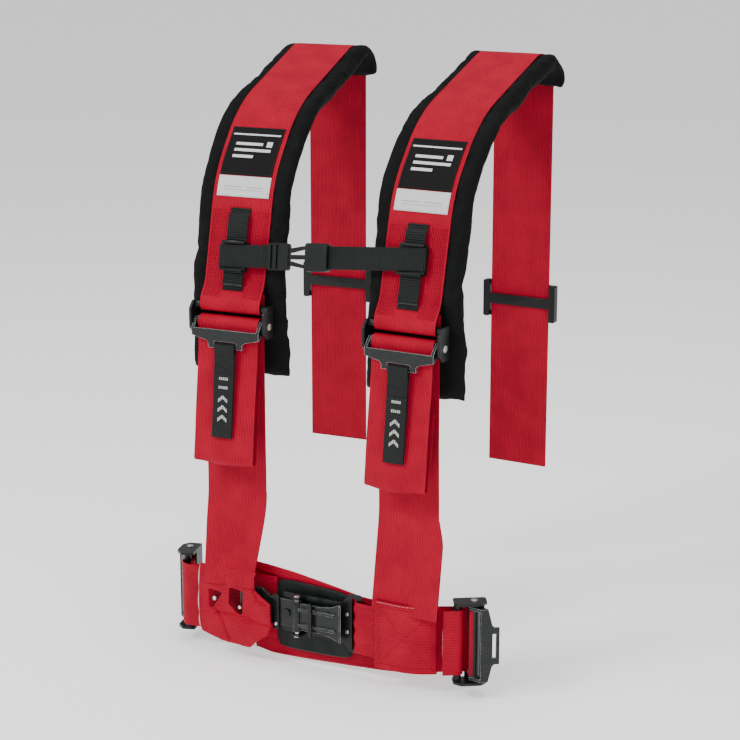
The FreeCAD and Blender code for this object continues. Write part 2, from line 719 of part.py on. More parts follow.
def link_plate():
    """The steel link, held in the left-hand webbing and dropped over the stud."""
    piece = Piece("link_plate", FreeCAD.Placement(LATCH, FreeCAD.Rotation()))
    top = [(-102, 24), (-72, 24), (-62, 16), (-30.3, 16)]
    outline = rounded(top + [(x, -z) for x, z in top[::-1]], 2)
    slot = box_loop(-96, -90, -20, 20, 2)
    piece.pad("XZ", [outline, slot, circle(*STUD, STUD_RADIUS + 0.6)], "sizes.link_gauge", 4.7)


def link_bar():
    piece = Piece("link_bar", FreeCAD.Placement(LATCH, FreeCAD.Rotation()))
    gauge = 2.4
    piece.pad("XZ", [box_loop(-57, -49, -21, 21, 2)], gauge, LINK_BAR_FACE - gauge / 2)


def rivet(x, up, base, radius=2.2, height=1.4):
    """A domed head standing on a face at a height, its axis out of the plate."""
    head = Part.makeCylinder(radius, height, V(x, -base, up), V(0, -1, 0))
    rims = [edge for edge in head.Edges if abs(edge.BoundBox.Center.y + base + height) < 0.01]
    return head.makeFillet(height * 0.6, rims)


def rivets():
    """Two on the base plate, one on the link's bar and two in the gaps of the left-hand junction."""
    plate = size("latch_plate")
    heads = [rivet(37, 10.5, plate), rivet(37, -10.5, plate), rivet(-53, -14.5, LINK_BAR_FACE)]
    heads += [rivet(-98.5, -1.5, 12.6, 2.4, 2.0), rivet(-132.8, 4, 12.6, 2.8, 2.0)]
    group("buckle_rivets", heads, FreeCAD.Placement(LATCH, FreeCAD.Rotation()))


def latch_spring():
    torsion_spring(
        "latch_spring",
        FreeCAD.Placement(LATCH, FreeCAD.Rotation()),
        axis=V(0, 0, 1),
        start=V(LATCH_AXIS[0], -LATCH_AXIS[1], 18.6),
        radius=3.7,
        wire=0.8,
        turns=1.5,
        pitch=1.0,
    )


# ---------------------------------------------------------------------------
# Three-bar slides on the shoulder tails
# ---------------------------------------------------------------------------
def tail_slide(name, side):
    """The webbing passes behind the middle bar and in front of the two outer bars."""
    half, tall = size("slide_width") / 2, 22.0
    bar = size("slide_bar")
    clear = HALF_GAUGE + 0.3
    piece = Piece(f"tail_slide_{name}", strap_frame(side))
    stiles = [box_loop(-half, -half + 8, -tall, tall, 2), box_loop(half - 8, half, -tall, tall, 2)]
    piece.pad("XZ", stiles[:1], 2 * (clear + bar))
    piece.pad("XZ", [box_loop(-half + 4, half - 4, -6, 6)], "sizes.slide_bar", clear + bar / 2)
    outer = [box_loop(-half + 4, half - 4, tall - 6, tall), box_loop(-half + 4, half - 4, -tall, 6 - tall)]
    piece.pad("XZ", outer, "sizes.slide_bar", -clear - bar / 2)
    piece.pad("XZ", stiles[1:], 2 * (clear + bar))


# ---------------------------------------------------------------------------
# The whole harness
# ---------------------------------------------------------------------------
for name, side in SIDES.items():
    shoulder_webbing(name, side)
    shoulder_pad(name, side)
    label_patches(name, side)
    chest_rail(name, side)
    chest_slider(name, side)
    adjuster(f"shoulder_adjuster_{name}", shoulder_adjuster_frame(side))
    pull_tab(name, side)
    lower_webbing(name, side)
    sewn_end(name, side)
    adjuster(f"lap_adjuster_{name}", lap_adjuster_frame(side))
    lap_tail(name, side)
    tail_slide(name, side)
chest_straps()
clip_male()
clip_female()
clip_prong("upper", 1)
clip_prong("lower", -1)
lap_webbing_left()
junction_right(lap_webbing_right())
junction_left()
backing_panel()
buckle_pad()
latch_base()
latch_pin()
latch_lever()
latch_crossbar()
latch_spring()
link_plate()
link_bar()
rivets()

doc.recompute()
for item in doc.Objects:
    if "Invalid" in item.State or "Error" in item.State:
        raise RuntimeError(f"{item.Name} did not recompute: {item.State}")
for piece in Piece.made:
    if piece.Shape.isNull() or not piece.Shape.isValid() or piece.Shape.Volume <= 0:
        raise RuntimeError(f"{piece.Label} has no valid solid")

os.makedirs("parts", exist_ok=True)
for piece in Piece.made:
    piece.Shape.exportStep(os.path.join("parts", f"{piece.Label}.step"))
    box = piece.Shape.BoundBox
    corners = [round(value, 1) for value in (box.XMin, box.YMin, box.ZMin, box.XMax, box.YMax, box.ZMax)]
    print(piece.Label, len(piece.Shape.Solids), round(piece.Shape.Volume), corners)
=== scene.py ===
"""The look of the racing harness: webbing, pads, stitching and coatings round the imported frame."""
import json
import math

import bpy
from mathutils import Matrix, Vector, noise

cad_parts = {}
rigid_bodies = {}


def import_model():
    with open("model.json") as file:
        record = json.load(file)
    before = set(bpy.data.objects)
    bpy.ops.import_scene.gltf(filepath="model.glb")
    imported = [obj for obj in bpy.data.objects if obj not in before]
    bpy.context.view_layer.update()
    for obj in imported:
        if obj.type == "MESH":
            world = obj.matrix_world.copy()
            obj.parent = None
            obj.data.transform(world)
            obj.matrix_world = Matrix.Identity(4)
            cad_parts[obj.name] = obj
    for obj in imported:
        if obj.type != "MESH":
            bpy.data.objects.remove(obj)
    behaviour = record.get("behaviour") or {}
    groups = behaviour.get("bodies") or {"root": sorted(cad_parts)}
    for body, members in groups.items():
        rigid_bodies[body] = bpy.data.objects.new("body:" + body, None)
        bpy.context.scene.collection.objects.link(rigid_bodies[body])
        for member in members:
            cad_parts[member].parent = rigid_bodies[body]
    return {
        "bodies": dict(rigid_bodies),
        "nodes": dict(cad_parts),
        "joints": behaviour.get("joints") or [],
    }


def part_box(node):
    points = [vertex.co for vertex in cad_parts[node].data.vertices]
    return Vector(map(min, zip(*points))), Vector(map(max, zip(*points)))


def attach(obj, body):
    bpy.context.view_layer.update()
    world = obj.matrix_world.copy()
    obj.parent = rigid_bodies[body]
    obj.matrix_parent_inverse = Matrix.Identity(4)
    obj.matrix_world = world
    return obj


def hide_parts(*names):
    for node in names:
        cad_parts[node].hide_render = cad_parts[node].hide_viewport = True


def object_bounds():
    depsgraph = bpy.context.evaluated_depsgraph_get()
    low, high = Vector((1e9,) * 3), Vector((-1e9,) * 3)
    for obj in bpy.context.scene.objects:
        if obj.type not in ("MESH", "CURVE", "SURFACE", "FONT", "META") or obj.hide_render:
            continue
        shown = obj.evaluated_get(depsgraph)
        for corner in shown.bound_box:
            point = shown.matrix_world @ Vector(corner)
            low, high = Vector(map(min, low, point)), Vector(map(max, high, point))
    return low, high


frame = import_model()
CAD_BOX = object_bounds()
MOVING = [joint["child"] for joint in frame["joints"]]
STRAPS = next(name for name in frame["bodies"] if name not in MOVING)
SIDES = {"left": -1, "right": 1}

# === Sizes and places, in metres unless their name says otherwise ===
WEBBING = 0.0762
NARROW = 0.0254
GAUGE = 0.0016

# Each shoulder strap stands this far from the middle, turned a little about the vertical
STRAP_SPREAD = 0.123
STRAP_TURN = math.radians(2.75)

# Adjusters: where they stand, and (back, up) of each one's fixed bar, cam and lever tongue
ADJUSTER_BACK = -0.266
ADJUSTER_UP = 0.003
BELT_UP = -0.332
LAP_PLACE = {-1: (-0.183, -0.243, math.radians(75)), 1: (0.180, -0.246, math.radians(33))}
FIXED_BAR = (-0.005, 0.017)
CAM = (-0.008, -0.001)
RING = (-0.0219, -0.02545)
BAR_WRAP = 0.0056
CAM_WRAP = 0.0076

# The chest strap's own frame: its lean, its roll and where its middle is
CHEST_LEAN = math.radians(-13.387)
CHEST_ROLL = math.radians(-4.0)
CHEST_BACK = -0.25547
CHEST_UP = 0.08259
CHEST_STRAP_LIFT = 0.0096

# Shoulder pads
PAD_WIDTH = 0.118
PAD_DEPTH = 0.022
PAD_FACE = 0.0018
PAD_MARGIN = 0.0035
PAD_END = 0.014
PAD_FLARE = 0.005

# Heights (top, foot) of what is sewn to the front of each shoulder strap
PATCH = (0.212, 0.163)
TAG = (0.162, 0.140)
RAIL = (0.128, 0.038)
PATCH_WIDTH = 0.066
PATCH_GAUGE = 0.0008


# === Materials ===
class Look:
    """A node material round one Principled shader."""

    def __init__(self, name, color, roughness, **sockets):
        self.material = bpy.data.materials.new(name)
        self.material.use_nodes = True
        self.tree = self.material.node_tree
        self.shader = self.tree.nodes["Principled BSDF"]
        self.shader.inputs["Base Color"].default_value = (*color, 1)
        self.shader.inputs["Roughness"].default_value = roughness
        for socket, value in sockets.items():
            self.shader.inputs[socket.replace("_", " ")].default_value = value

    def node(self, kind, inputs=(), **settings):
        made = self.tree.nodes.new("ShaderNode" + kind)
        for key, value in settings.items():
            setattr(made, key, value)
        for socket, value in dict(inputs).items():
            if isinstance(value, bpy.types.NodeSocket):
                self.tree.links.new(value, made.inputs[socket])
            else:
                made.inputs[socket].default_value = value
        return made

    def math(self, operation, first, second=0.0, third=0.0):
        return self.node("Math", {0: first, 1: second, 2: third}, operation=operation).outputs[0]

    def plus(self, first, second):
        return self.math("ADD", first, second)

    def times(self, first, second):
        return self.math("MULTIPLY", first, second)

    def uv(self):
        """Across and along the webbing, in metres."""
        coordinates = self.node("UVMap", uv_map="webbing").outputs[0]
        parts = self.node("SeparateXYZ", {0: coordinates})
        return parts.outputs[0], parts.outputs[1]

    def object_point(self):
        return self.node("TexCoord").outputs["Object"]

    def noise(self, scale, detail=2.0, stretch=None):
        place = self.object_point()
        if stretch:
            place = self.node("Mapping", {0: place, 3: stretch}).outputs[0]
        return self.node("TexNoise", {"Vector": place, "Scale": scale, "Detail": detail}).outputs[0]

    def ramp(self, factor, *stops):
        made = self.node("ValToRGB", {0: factor})
        while len(made.color_ramp.elements) < len(stops):
            made.color_ramp.elements.new(0.5)
        for element, (place, color) in zip(made.color_ramp.elements, stops):
            element.position = place
            element.color = (*color, 1)
        return made.outputs[0]

    def mix(self, factor, first, second):
        inputs = {0: factor}
        for socket, value in ((6, first), (7, second)):
            inputs[socket] = value if isinstance(value, bpy.types.NodeSocket) else (*value, 1)
        return self.node("Mix", inputs, data_type="RGBA").outputs[2]

    def color(self, value):
        self.tree.links.new(value, self.shader.inputs["Base Color"])

    def rough(self, value):
        self.tree.links.new(value, self.shader.inputs["Roughness"])

    def bump(self, height, distance, strength=1.0):
        bump = self.node("Bump", {"Height": height, "Distance": distance, "Strength": strength})
        self.tree.links.new(bump.outputs[0], self.shader.inputs["Normal"])

    def saw(self, value, pitch):
        """0 to 1 and back once in every pitch."""
        return self.math("PINGPONG", self.math("DIVIDE", value, pitch / 2), 1.0)


def shade(color, factor):
    return tuple(factor * value for value in color)


def woven(name, dark, light, rib, pick, depth, roughness, **sockets):
    """Narrow webbing: warp ribs along it, weft picks across it, slow patches of wear and dye."""
    look = Look(name, light, roughness, **sockets)
    across, along = look.uv()
    ribs = look.saw(across, rib)
    shifted = look.plus(along, look.times(look.saw(across, 2 * rib), pick))
    picks = look.saw(shifted, pick)
    crowns = look.math("POWER", ribs, 0.5)
    weave = look.times(crowns, look.plus(look.times(picks, 0.45), 0.55))
    slow = look.noise(38.0, 4.0)
    fuzz = look.noise(2400.0, 2.0)
    tone = look.plus(look.times(weave, 0.62), look.times(slow, 0.38))
    look.color(look.ramp(tone, (0.12, dark), (0.78, light)))
    look.bump(look.plus(weave, look.times(fuzz, 0.25)), depth)
    return look.material


def ribbed(name, dark, light, rib, yarn, depth, roughness):
    """Heavy narrow webbing whose ribs run across it."""
    look = Look(name, light, roughness, Specular_IOR_Level=0.2)
    across, along = look.uv()
    ribs = look.math("POWER", look.saw(along, rib), 0.6)
    yarns = look.saw(across, yarn)
    weave = look.times(ribs, look.plus(look.times(yarns, 0.3), 0.7))
    tone = look.plus(look.times(weave, 0.75), look.times(look.noise(60.0, 3.0), 0.25))
    look.color(look.ramp(tone, (0.15, dark), (0.85, light)))
    look.bump(weave, depth)
    return look.material


RED = woven("webbing_red", (0.13, 0.0, 0.008), (0.52, 0.001, 0.026), 0.0019, 0.0012, 0.0006, 0.6,
            Specular_IOR_Level=0.12)
BLACK_WEB = ribbed("webbing_black", (0.001, 0.0015, 0.0015), (0.014, 0.016, 0.016), 0.0026, 0.0012, 0.0009,
                   0.58)


def cover_fabric():
    look = Look("pad_fabric", (0.004, 0.004, 0.004), 0.8, Specular_IOR_Level=0.12)
    place = look.object_point()
    parts = look.node("SeparateXYZ", {0: place})
    warp = look.saw(parts.outputs[0], 0.0011)
    weft = look.saw(look.plus(parts.outputs[1], parts.outputs[2]), 0.0011)
    weave = look.times(warp, weft)
    slow = look.noise(55.0, 4.0)
    tone = look.plus(look.times(weave, 0.5), look.times(slow, 0.5))
    look.color(look.ramp(tone, (0.15, (0.001, 0.001, 0.001)), (0.85, (0.008, 0.009, 0.009))))
    crease = look.noise(90.0, 5.0)
    look.bump(look.plus(look.times(weave, 0.2), crease), 0.0011)
    return look.material


def vinyl():
    look = Look("vinyl", (0.006, 0.009, 0.008), 0.5, Specular_IOR_Level=0.18)
    place = look.object_point()
    cells = look.node("TexVoronoi", {"Vector": place, "Scale": 900.0}, feature="DISTANCE_TO_EDGE")
    grain = cells.outputs["Distance"]
    slow = look.noise(60.0, 3.0)
    look.color(look.ramp(slow, (0.3, (0.003, 0.005, 0.004)), (0.7, (0.009, 0.014, 0.012))))
    look.rough(look.plus(look.times(slow, 0.2), 0.34))
    look.bump(look.plus(grain, look.times(slow, 1.5)), 0.0005)
    return look.material


def coated_metal(name, coat, bare, worn, roughness):
    """Dark coating, brighter where the edges have worn through."""
    look = Look(name, coat, roughness, Specular_IOR_Level=0.28)
    rounded = look.node("Bevel", {"Radius": 0.0008}, samples=8).outputs[0]
    true = look.node("NewGeometry").outputs["Normal"]
    kept = look.node("VectorMath", {0: rounded, 1: true}, operation="DOT_PRODUCT").outputs["Value"]
    bend = look.math("SUBTRACT", 1.0, kept)
    patchy = look.plus(look.times(look.noise(150.0, 2.0), 1.6), worn - 0.6)
    ragged = look.times(bend, patchy)
    edge = look.ramp(ragged, (0.05, (0, 0, 0)), (0.11, (1, 1, 1)))
    speck = look.noise(900.0, 2.0)
    tone = look.ramp(look.noise(70.0, 3.0), (0.3, shade(coat, 0.75)), (0.7, shade(coat, 1.3)))
    look.color(look.mix(edge, tone, bare))
    look.rough(look.plus(look.times(speck, 0.18), roughness - 0.09))
    look.bump(speck, 0.00008)
    return look.material


def bright_metal(name, color, roughness):
    look = Look(name, color, roughness, Metallic=1.0)
    scratches = look.noise(260.0, 5.0, (1.0, 1.0, 14.0))
    look.color(look.ramp(scratches, (0.3, shade(color, 0.7)), (0.7, color)))
    look.rough(look.plus(look.times(scratches, 0.2), roughness - 0.08))
    look.bump(scratches, 0.00005)
    return look.material


def moulded(name, color, roughness):
    look = Look(name, color, roughness, Specular_IOR_Level=0.2)
    grain = look.noise(1500.0, 3.0)
    slow = look.noise(45.0, 2.0)
    look.color(look.ramp(slow, (0.3, shade(color, 0.8)), (0.7, shade(color, 1.25))))
    look.rough(look.plus(look.times(grain, 0.16), roughness - 0.08))
    look.bump(grain, 0.00009)
    return look.material


def thread(name, color):
    look = Look(name, color, 0.7, Specular_IOR_Level=0.1)
    twist = look.noise(3000.0, 2.0)
    look.color(look.ramp(twist, (0.3, shade(color, 0.6)), (0.7, color)))
    look.bump(twist, 0.0001)
    return look.material


PAD_FABRIC = cover_fabric()
VINYL = vinyl()
DARK_STEEL = coated_metal("steel_coated", (0.004, 0.005, 0.005), (0.10, 0.11, 0.11), -0.1, 0.36)
LEVER_STEEL = coated_metal("steel_lever", (0.009, 0.011, 0.011), (0.55, 0.57, 0.57), 0.45, 0.28)
BRIGHT_STEEL = bright_metal("steel_bright", (0.72, 0.72, 0.7), 0.26)
LINK_STEEL = coated_metal("steel_link", (0.008, 0.010, 0.010), (0.45, 0.46, 0.46), 0.2, 0.3)
MOULDED = moulded("moulded_black", (0.006, 0.007, 0.007), 0.4)
RED_THREAD = thread("thread_red", (0.36, 0.001, 0.018))
DARK_RED_THREAD = thread("thread_dark_red", (0.17, 0.0, 0.010))
BLACK_THREAD = thread("thread_black", (0.02, 0.02, 0.022))
GREY_THREAD = thread("thread_grey", (0.22, 0.23, 0.23))
WHITE_THREAD = thread("thread_white", (0.78, 0.78, 0.76))
PALE_THREAD = thread("thread_pale", (0.80, 0.42, 0.40))


# === Paths and strips ===
class Path:
    """A line through corners (a, b[, radius]) of a plane, each corner rounded to its radius."""

    def __init__(self, *corners, step=0.002):
        points = [Vector(corner[:2]) for corner in corners]
        line = [points[0]]
        for index in range(1, len(points) - 1):
            before, corner, after = points[index - 1:index + 2]
            inward, outward = (corner - before).normalized(), (after - corner).normalized()
            turn = math.atan2(inward.x * outward.y - inward.y * outward.x, inward.dot(outward))
            radius = corners[index][2] if len(corners[index]) > 2 else 0.0
            if abs(turn) < 1e-4 or radius <= 0:
                line.append(corner)
                continue
            reach = radius * math.tan(abs(turn) / 2)
            spoke = Vector((-inward.y, inward.x)) * math.copysign(radius, turn)
            start = corner - inward * reach
            centre = start + spoke
            count = max(4, int(abs(turn) * radius / step), int(abs(turn) / 0.2))
            for part in range(count + 1):
                line.append(centre + Matrix.Rotation(turn * part / count, 2) @ -spoke)
        line.append(points[-1])
        self.points, self.marks = [line[0]], [0.0]
        for point in line[1:]:
            gap = (point - self.points[-1]).length
            pieces = max(1, int(gap / step))
            if gap < 1e-7:
                continue
            origin, mark = self.points[-1], self.marks[-1]
            for part in range(1, pieces + 1):
                self.points.append(origin.lerp(point, part / pieces))
                self.marks.append(mark + gap * part / pieces)
        self.length = self.marks[-1]

    def at(self, distance, lift=0.0):
        """The point that far along, moved left of travel by lift."""
        distance = min(max(distance, 0.0), self.length)
        low, high = 0, len(self.marks) - 1
        while high - low > 1:
            middle = (low + high) // 2
            if self.marks[middle] <= distance:
                low = middle
            else:
                high = middle
        span = self.marks[high] - self.marks[low]
        share = (distance - self.marks[low]) / span
        along = (self.points[min(high + 1, len(self.points) - 1)] - self.points[max(low - 1, 0)]).normalized()
        return self.points[low].lerp(self.points[high], share) + Vector((-along.y, along.x)) * lift

    def crossing(self, level, axis, start=0.0):
        """How far along the path, past start, it first crosses a level of one axis."""
        for index in range(1, len(self.points)):
            before, after = self.points[index - 1][axis] - level, self.points[index][axis] - level
            first, last = self.marks[index - 1], self.marks[index]
            if last > start and before * after <= 0 and before != after:
                return first + (last - first) * before / (before - after)
        raise ValueError("the path does not cross that level")


def new_object(name, data):
    made = bpy.data.objects.new(name, data)
    bpy.context.scene.collection.objects.link(made)
    return made


def mesh_object(name, points, faces, material, uvs=None):
    mesh = bpy.data.meshes.new(name)
    mesh.from_pydata([tuple(point) for point in points], [], faces)
    mesh.polygons.foreach_set("use_smooth", [True] * len(faces))
    if uvs:
        layer = mesh.uv_layers.new(name="webbing")
        for loop in mesh.loops:
            layer.data[loop.index].uv = uvs[loop.vertex_index]
    mesh.materials.append(material)
    return new_object(name, mesh)


def tube_faces(rows, count, base=0):
    """Quads between the rows of a tube's points, and a cap at each end."""
    faces = []
    for row in range(rows):
        low = base + row * count
        high = low + count
        for spot in range(count):
            after = (spot + 1) % count
            faces.append((low + spot, low + after, high + after, high + spot))
    faces.append(tuple(base + spot for spot in range(count))[::-1])
    faces.append(tuple(base + rows * count + spot for spot in range(count)))
    return faces


class Strip:
    """A webbing on a path: place(across, a, b) takes a point of its plane to the row frame."""

    def __init__(self, place, path, width, gauge=GAUGE, face=-1, shape=None):
        self.place, self.path, self.width, self.gauge, self.face = place, path, width, gauge, face
        self.shape = shape or (lambda across, along: (across, 0.0))

    def point(self, across, along, lift=0.0):
        """A point of the strip; lift is out of its front face's side, from its middle."""
        moved, bulge = self.shape(across, along)
        spot = self.path.at(along, self.face * (lift + bulge))
        return self.place(moved, spot.x, spot.y)

    def build(self, name, material, start=0.0, end=None, step=0.0025, columns=22):
        end = self.path.length if end is None else end
        rows = max(2, int((end - start) / step))
        half, thick = self.width / 2, self.gauge / 2
        edge = [0.0, 0.35, 0.75, 1.0]
        inner = [-1 + 2 * part / columns for part in range(columns + 1)]
        profile = [(-half + thick * share, math.sqrt(1 - (1 - share) ** 2)) for share in edge]
        profile += [(spot * (half - thick), 1.0) for spot in inner[1:-1]]
        profile += [(half - thick * share, math.sqrt(1 - (1 - share) ** 2)) for share in reversed(edge)]
        ring = [(across, thick * share) for across, share in profile]
        ring += [(across, -thick * share) for across, share in profile[-2:0:-1]]
        points, uvs = [], []
        for row in range(rows + 1):
            along = start + (end - start) * row / rows
            for across, lift in ring:
                points.append(self.point(across, along, lift))
                uvs.append((across + half, along))
        return mesh_object(name, points, tube_faces(rows, len(ring)), material, uvs)


def stitch_mesh(name, runs, material, radius=0.0004):
    """Thread: a small raised bead for each stitch, from one point to another with its outward direction."""
    points, faces = [], []
    sections, sides = (0.0, 0.5, 0.95, 1.0, 0.95, 0.5, 0.0), 5
    for start, end, out in runs:
        along = end - start
        if along.length < 1e-6:
            continue
        over = along.normalized().cross(out).normalized()
        base = len(points)
        for part, share in enumerate(sections):
            centre = start.lerp(end, part / (len(sections) - 1)) + out * radius * (share - 0.55)
            size = max(share, 0.2) * radius
            for side in range(sides):
                angle = 2 * math.pi * side / sides
                points.append(centre + (over * math.cos(angle) + out * math.sin(angle)) * size)
        faces += tube_faces(len(sections) - 1, sides, base)
    return mesh_object(name, points, faces, material)


def seam(strip, line, pitch=0.0032, fill=0.72):
    """Stitches on a strip's front along a line of (across, along) points."""
    lift = strip.gauge / 2
    runs = []
    for (a0, s0), (a1, s1) in zip(line, line[1:]):
        length = math.hypot(a1 - a0, s1 - s0)
        count = max(1, round(length / pitch))
        for index in range(count):
            t0, t1 = index / count, (index + fill) / count
            start = (a0 + (a1 - a0) * t0, s0 + (s1 - s0) * t0)
            end = (a0 + (a1 - a0) * t1, s0 + (s1 - s0) * t1)
            first, last = strip.point(*start, lift), strip.point(*end, lift)
            out = (strip.point(*start, lift + 0.001) - first).normalized()
            runs.append((first, last, out))
    return runs


def zigzag(across_from, across_to, start, end, pitch):
    """A line of (across, along) points that swings between two edges."""
    count = int((end - start) / pitch)
    return [((across_from, across_to)[index % 2], start + index * pitch) for index in range(count + 1)]


def box_line(left, right, start, end, cross=True):
    loop = [(left, start), (right, start), (right, end), (left, end), (left, start)]
    return loop + [(right, end)] if cross else loop


def sew(name, runs, material, slot_name, radius=0.0004, body=STRAPS):
    add(stitch_mesh(name, runs, material, radius), slot_name, body=body)


def add(piece, slot_name, *nodes, body=STRAPS):
    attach(piece, body)
    if nodes:
        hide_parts(*nodes)
    return piece


# === Frames of the straps ===
def strap_matrix(side):
    return Matrix.Translation((side * STRAP_SPREAD, 0, 0)) @ Matrix.Rotation(-side * STRAP_TURN, 4, "Z")


def strap_place(side):
    turn = strap_matrix(side)
    return lambda across, back, up: turn @ Vector((across, back, up))


def lap_place(side):
    x, y, yaw = LAP_PLACE[side]
    inboard = Vector((-side * math.cos(yaw), -math.sin(yaw), 0))
    back = Vector((-side * math.sin(yaw), math.cos(yaw), 0))
    origin = Vector((x, y, BELT_UP))
    return lambda across, spot, along: origin + Vector((0, 0, across)) + back * spot + inboard * along


def belt_place(across, x, y):
    return Vector((x, y, BELT_UP + across))


def chest_place(across, x, out):
    turned = Matrix.Rotation(CHEST_LEAN, 3, "X") @ Matrix.Rotation(CHEST_ROLL, 3, "Y")
    return Vector((0, CHEST_BACK, CHEST_UP)) + turned @ Vector((x, -out, across))


OVER_SHOULDER = [(0, 0.31, 0.033), (-0.18, 0.236, 0.15), (-0.2365, 0.164, 0.14)]


def shoulder_corners():
    """From the tail's end over the shoulder, down to the adjuster and round its fixed bar."""
    back, up = ADJUSTER_BACK + FIXED_BAR[0], ADJUSTER_UP + FIXED_BAR[1]
    wrap = BAR_WRAP
    return [(0, -0.2), *OVER_SHOULDER, (-0.264, 0.046, 0.04), (back - wrap, up + 0.008, 0.02),
            (back - wrap, up - wrap, wrap), (back + wrap, up - wrap, wrap),
            (back + wrap + 0.0008, up + 0.016)]


def lower_corners():
    """Up from the belt, over the cam and down into the hanging loop."""
    back, up = ADJUSTER_BACK + CAM[0], ADJUSTER_UP + CAM[1]
    return [(-0.279, -0.29), (-0.2645, -0.195, 0.15), (back + CAM_WRAP, -0.11, 0.3),
            (back + CAM_WRAP, up + CAM_WRAP, CAM_WRAP), (back - CAM_WRAP, up + CAM_WRAP, CAM_WRAP),
            (back - CAM_WRAP, -0.028, 0.08), (-0.3, -0.1585, 0.0055), (-0.2885, -0.157, 0.0055),
            (-0.277, -0.07)]


SHOULDER = Path(*shoulder_corners())
PAD_LINE = Path((0, 0.256), *OVER_SHOULDER, (-0.26195, 0.054, 0.06), (-0.2605, -0.06))
FRONT_START = SHOULDER.crossing(-0.1, 0)


def front(up):
    """How far along the shoulder webbing its front comes down to a height."""
    return SHOULDER.crossing(up, 1, FRONT_START)


# === Shoulder straps and pads ===
def shoulder_strap(name, side):
    strip = Strip(strap_place(side), SHOULDER, WEBBING)
    add(strip.build(f"shoulder_strap_{name}", RED), "red_webbing", f"shoulder_webbing_{name}")
    return strip


def smooth_step(value, low, high):
    share = min(max((value - low) / (high - low), 0.0), 1.0)
    return share * share * (3 - 2 * share)


def pad_shape(name, side):
    """The pad before it swells: a closed band under the strap, whose margins stand up beside it."""
    place = strap_place(side)
    rows, columns = 110, 32
    points, faces = [], []
    for row in range(rows + 1):
        along = PAD_LINE.length * row / rows
        end_share = min(along, PAD_LINE.length - along) / PAD_END
        ends = math.sqrt(1 - (1 - min(end_share, 1.0)) ** 2)
        for under in (0, 1):
            for column in range(columns + 1):
                spot = -1 + 2 * column / columns
                if under:
                    spot = -spot
                flare = PAD_FLARE * smooth_step(along, PAD_LINE.length - 0.15, PAD_LINE.length - 0.05)
                across = spot * (PAD_WIDTH / 2 - 0.002 + flare)
                round_off = max(ends * math.sqrt(max(0.0, 1 - abs(spot) ** 9)), 0.1)
                by_adjuster = smooth_step(PAD_LINE.at(along).y, 0.03, 0.055) if along > 0.15 else 1.0
                beside = smooth_step(abs(across), WEBBING / 2 - 0.001, WEBBING / 2 + 0.005)
                margin = PAD_MARGIN * by_adjuster * beside
                face, rear = PAD_FACE - margin, PAD_DEPTH - 0.004
                centre = (PAD_FACE + rear) / 2
                lift = centre + ((rear if under else face) - centre) * round_off
                spot_at = PAD_LINE.at(along, lift)
                points.append(place(across, spot_at.x, spot_at.y))
    count = 2 * (columns + 1)
    for row in range(rows):
        low, high = row * count, (row + 1) * count
        for spot in range(count):
            after = (spot + 1) % count
            faces.append((low + spot, high + spot, high + after, low + after))
    faces.append(tuple(range(count)))
    faces.append(tuple(rows * count + spot for spot in range(count))[::-1])
    return mesh_object(f"shoulder_pad_{name}", points, faces, PAD_FABRIC)


def voxel_remesh(piece, voxel):
    remesh = piece.modifiers.new("even", "REMESH")
    remesh.mode = "VOXEL"
    remesh.voxel_size = voxel


def swell(piece, pinned, cap, voxel=0.0045):
    """Blows the piece up a little as cloth and keeps what the pinned points hold down."""
    voxel_remesh(piece, voxel)
    bake(piece)
    rest = [vertex.co.copy() for vertex in piece.data.vertices]
    group = piece.vertex_groups.new(name="held")
    for vertex in piece.data.vertices:
        weight = pinned(vertex.co)
        if weight > 0:
            group.add([vertex.index], weight, "REPLACE")
    cloth = piece.modifiers.new("swell", "CLOTH")
    settings = cloth.settings
    settings.vertex_group_mass = "held"
    settings.use_pressure = True
    settings.uniform_pressure_force = 4.0
    settings.shrink_min = -0.04
    settings.effector_weights.gravity = 0
    settings.quality = 4
    cloth.collision_settings.use_collision = False
    cloth.collision_settings.use_self_collision = False
    cloth.point_cache.frame_end = 20
    for number in range(1, 21):
        bpy.context.scene.frame_set(number)
    bake(piece)
    bpy.context.scene.frame_set(1)
    for vertex, before in zip(piece.data.vertices, rest):
        moved = vertex.co - before
        if moved.length > cap:
            vertex.co = before + moved * (cap / moved.length)
    piece.vertex_groups.clear()


def bake(piece):
    """Replaces the piece's mesh with what its modifiers make of it."""
    depsgraph = bpy.context.evaluated_depsgraph_get()
    made = bpy.data.meshes.new_from_object(piece.evaluated_get(depsgraph))
    made.polygons.foreach_set("use_smooth", [True] * len(made.polygons))
    piece.modifiers.clear()
    piece.data = made


def strap_coordinates(side):
    """Takes a row-frame point back to the strap's own across, back and up."""
    turn = strap_matrix(side).inverted()
    return lambda point: turn @ point


PAD_MARKS = 160
PAD_TABLE = [PAD_LINE.at(PAD_LINE.length * index / PAD_MARKS) for index in range(PAD_MARKS + 1)]


def pad_coordinates(side):
    """Takes a row-frame point to (across, distance along the pad, depth behind its front line)."""
    local = strap_coordinates(side)

    def convert(point):
        spot = local(point)
        flat = Vector((spot.y, spot.z))
        nearest = min(range(PAD_MARKS + 1), key=lambda index: (PAD_TABLE[index] - flat).length_squared)
        return spot.x, nearest * PAD_LINE.length / PAD_MARKS, (PAD_TABLE[nearest] - flat).length

    return convert


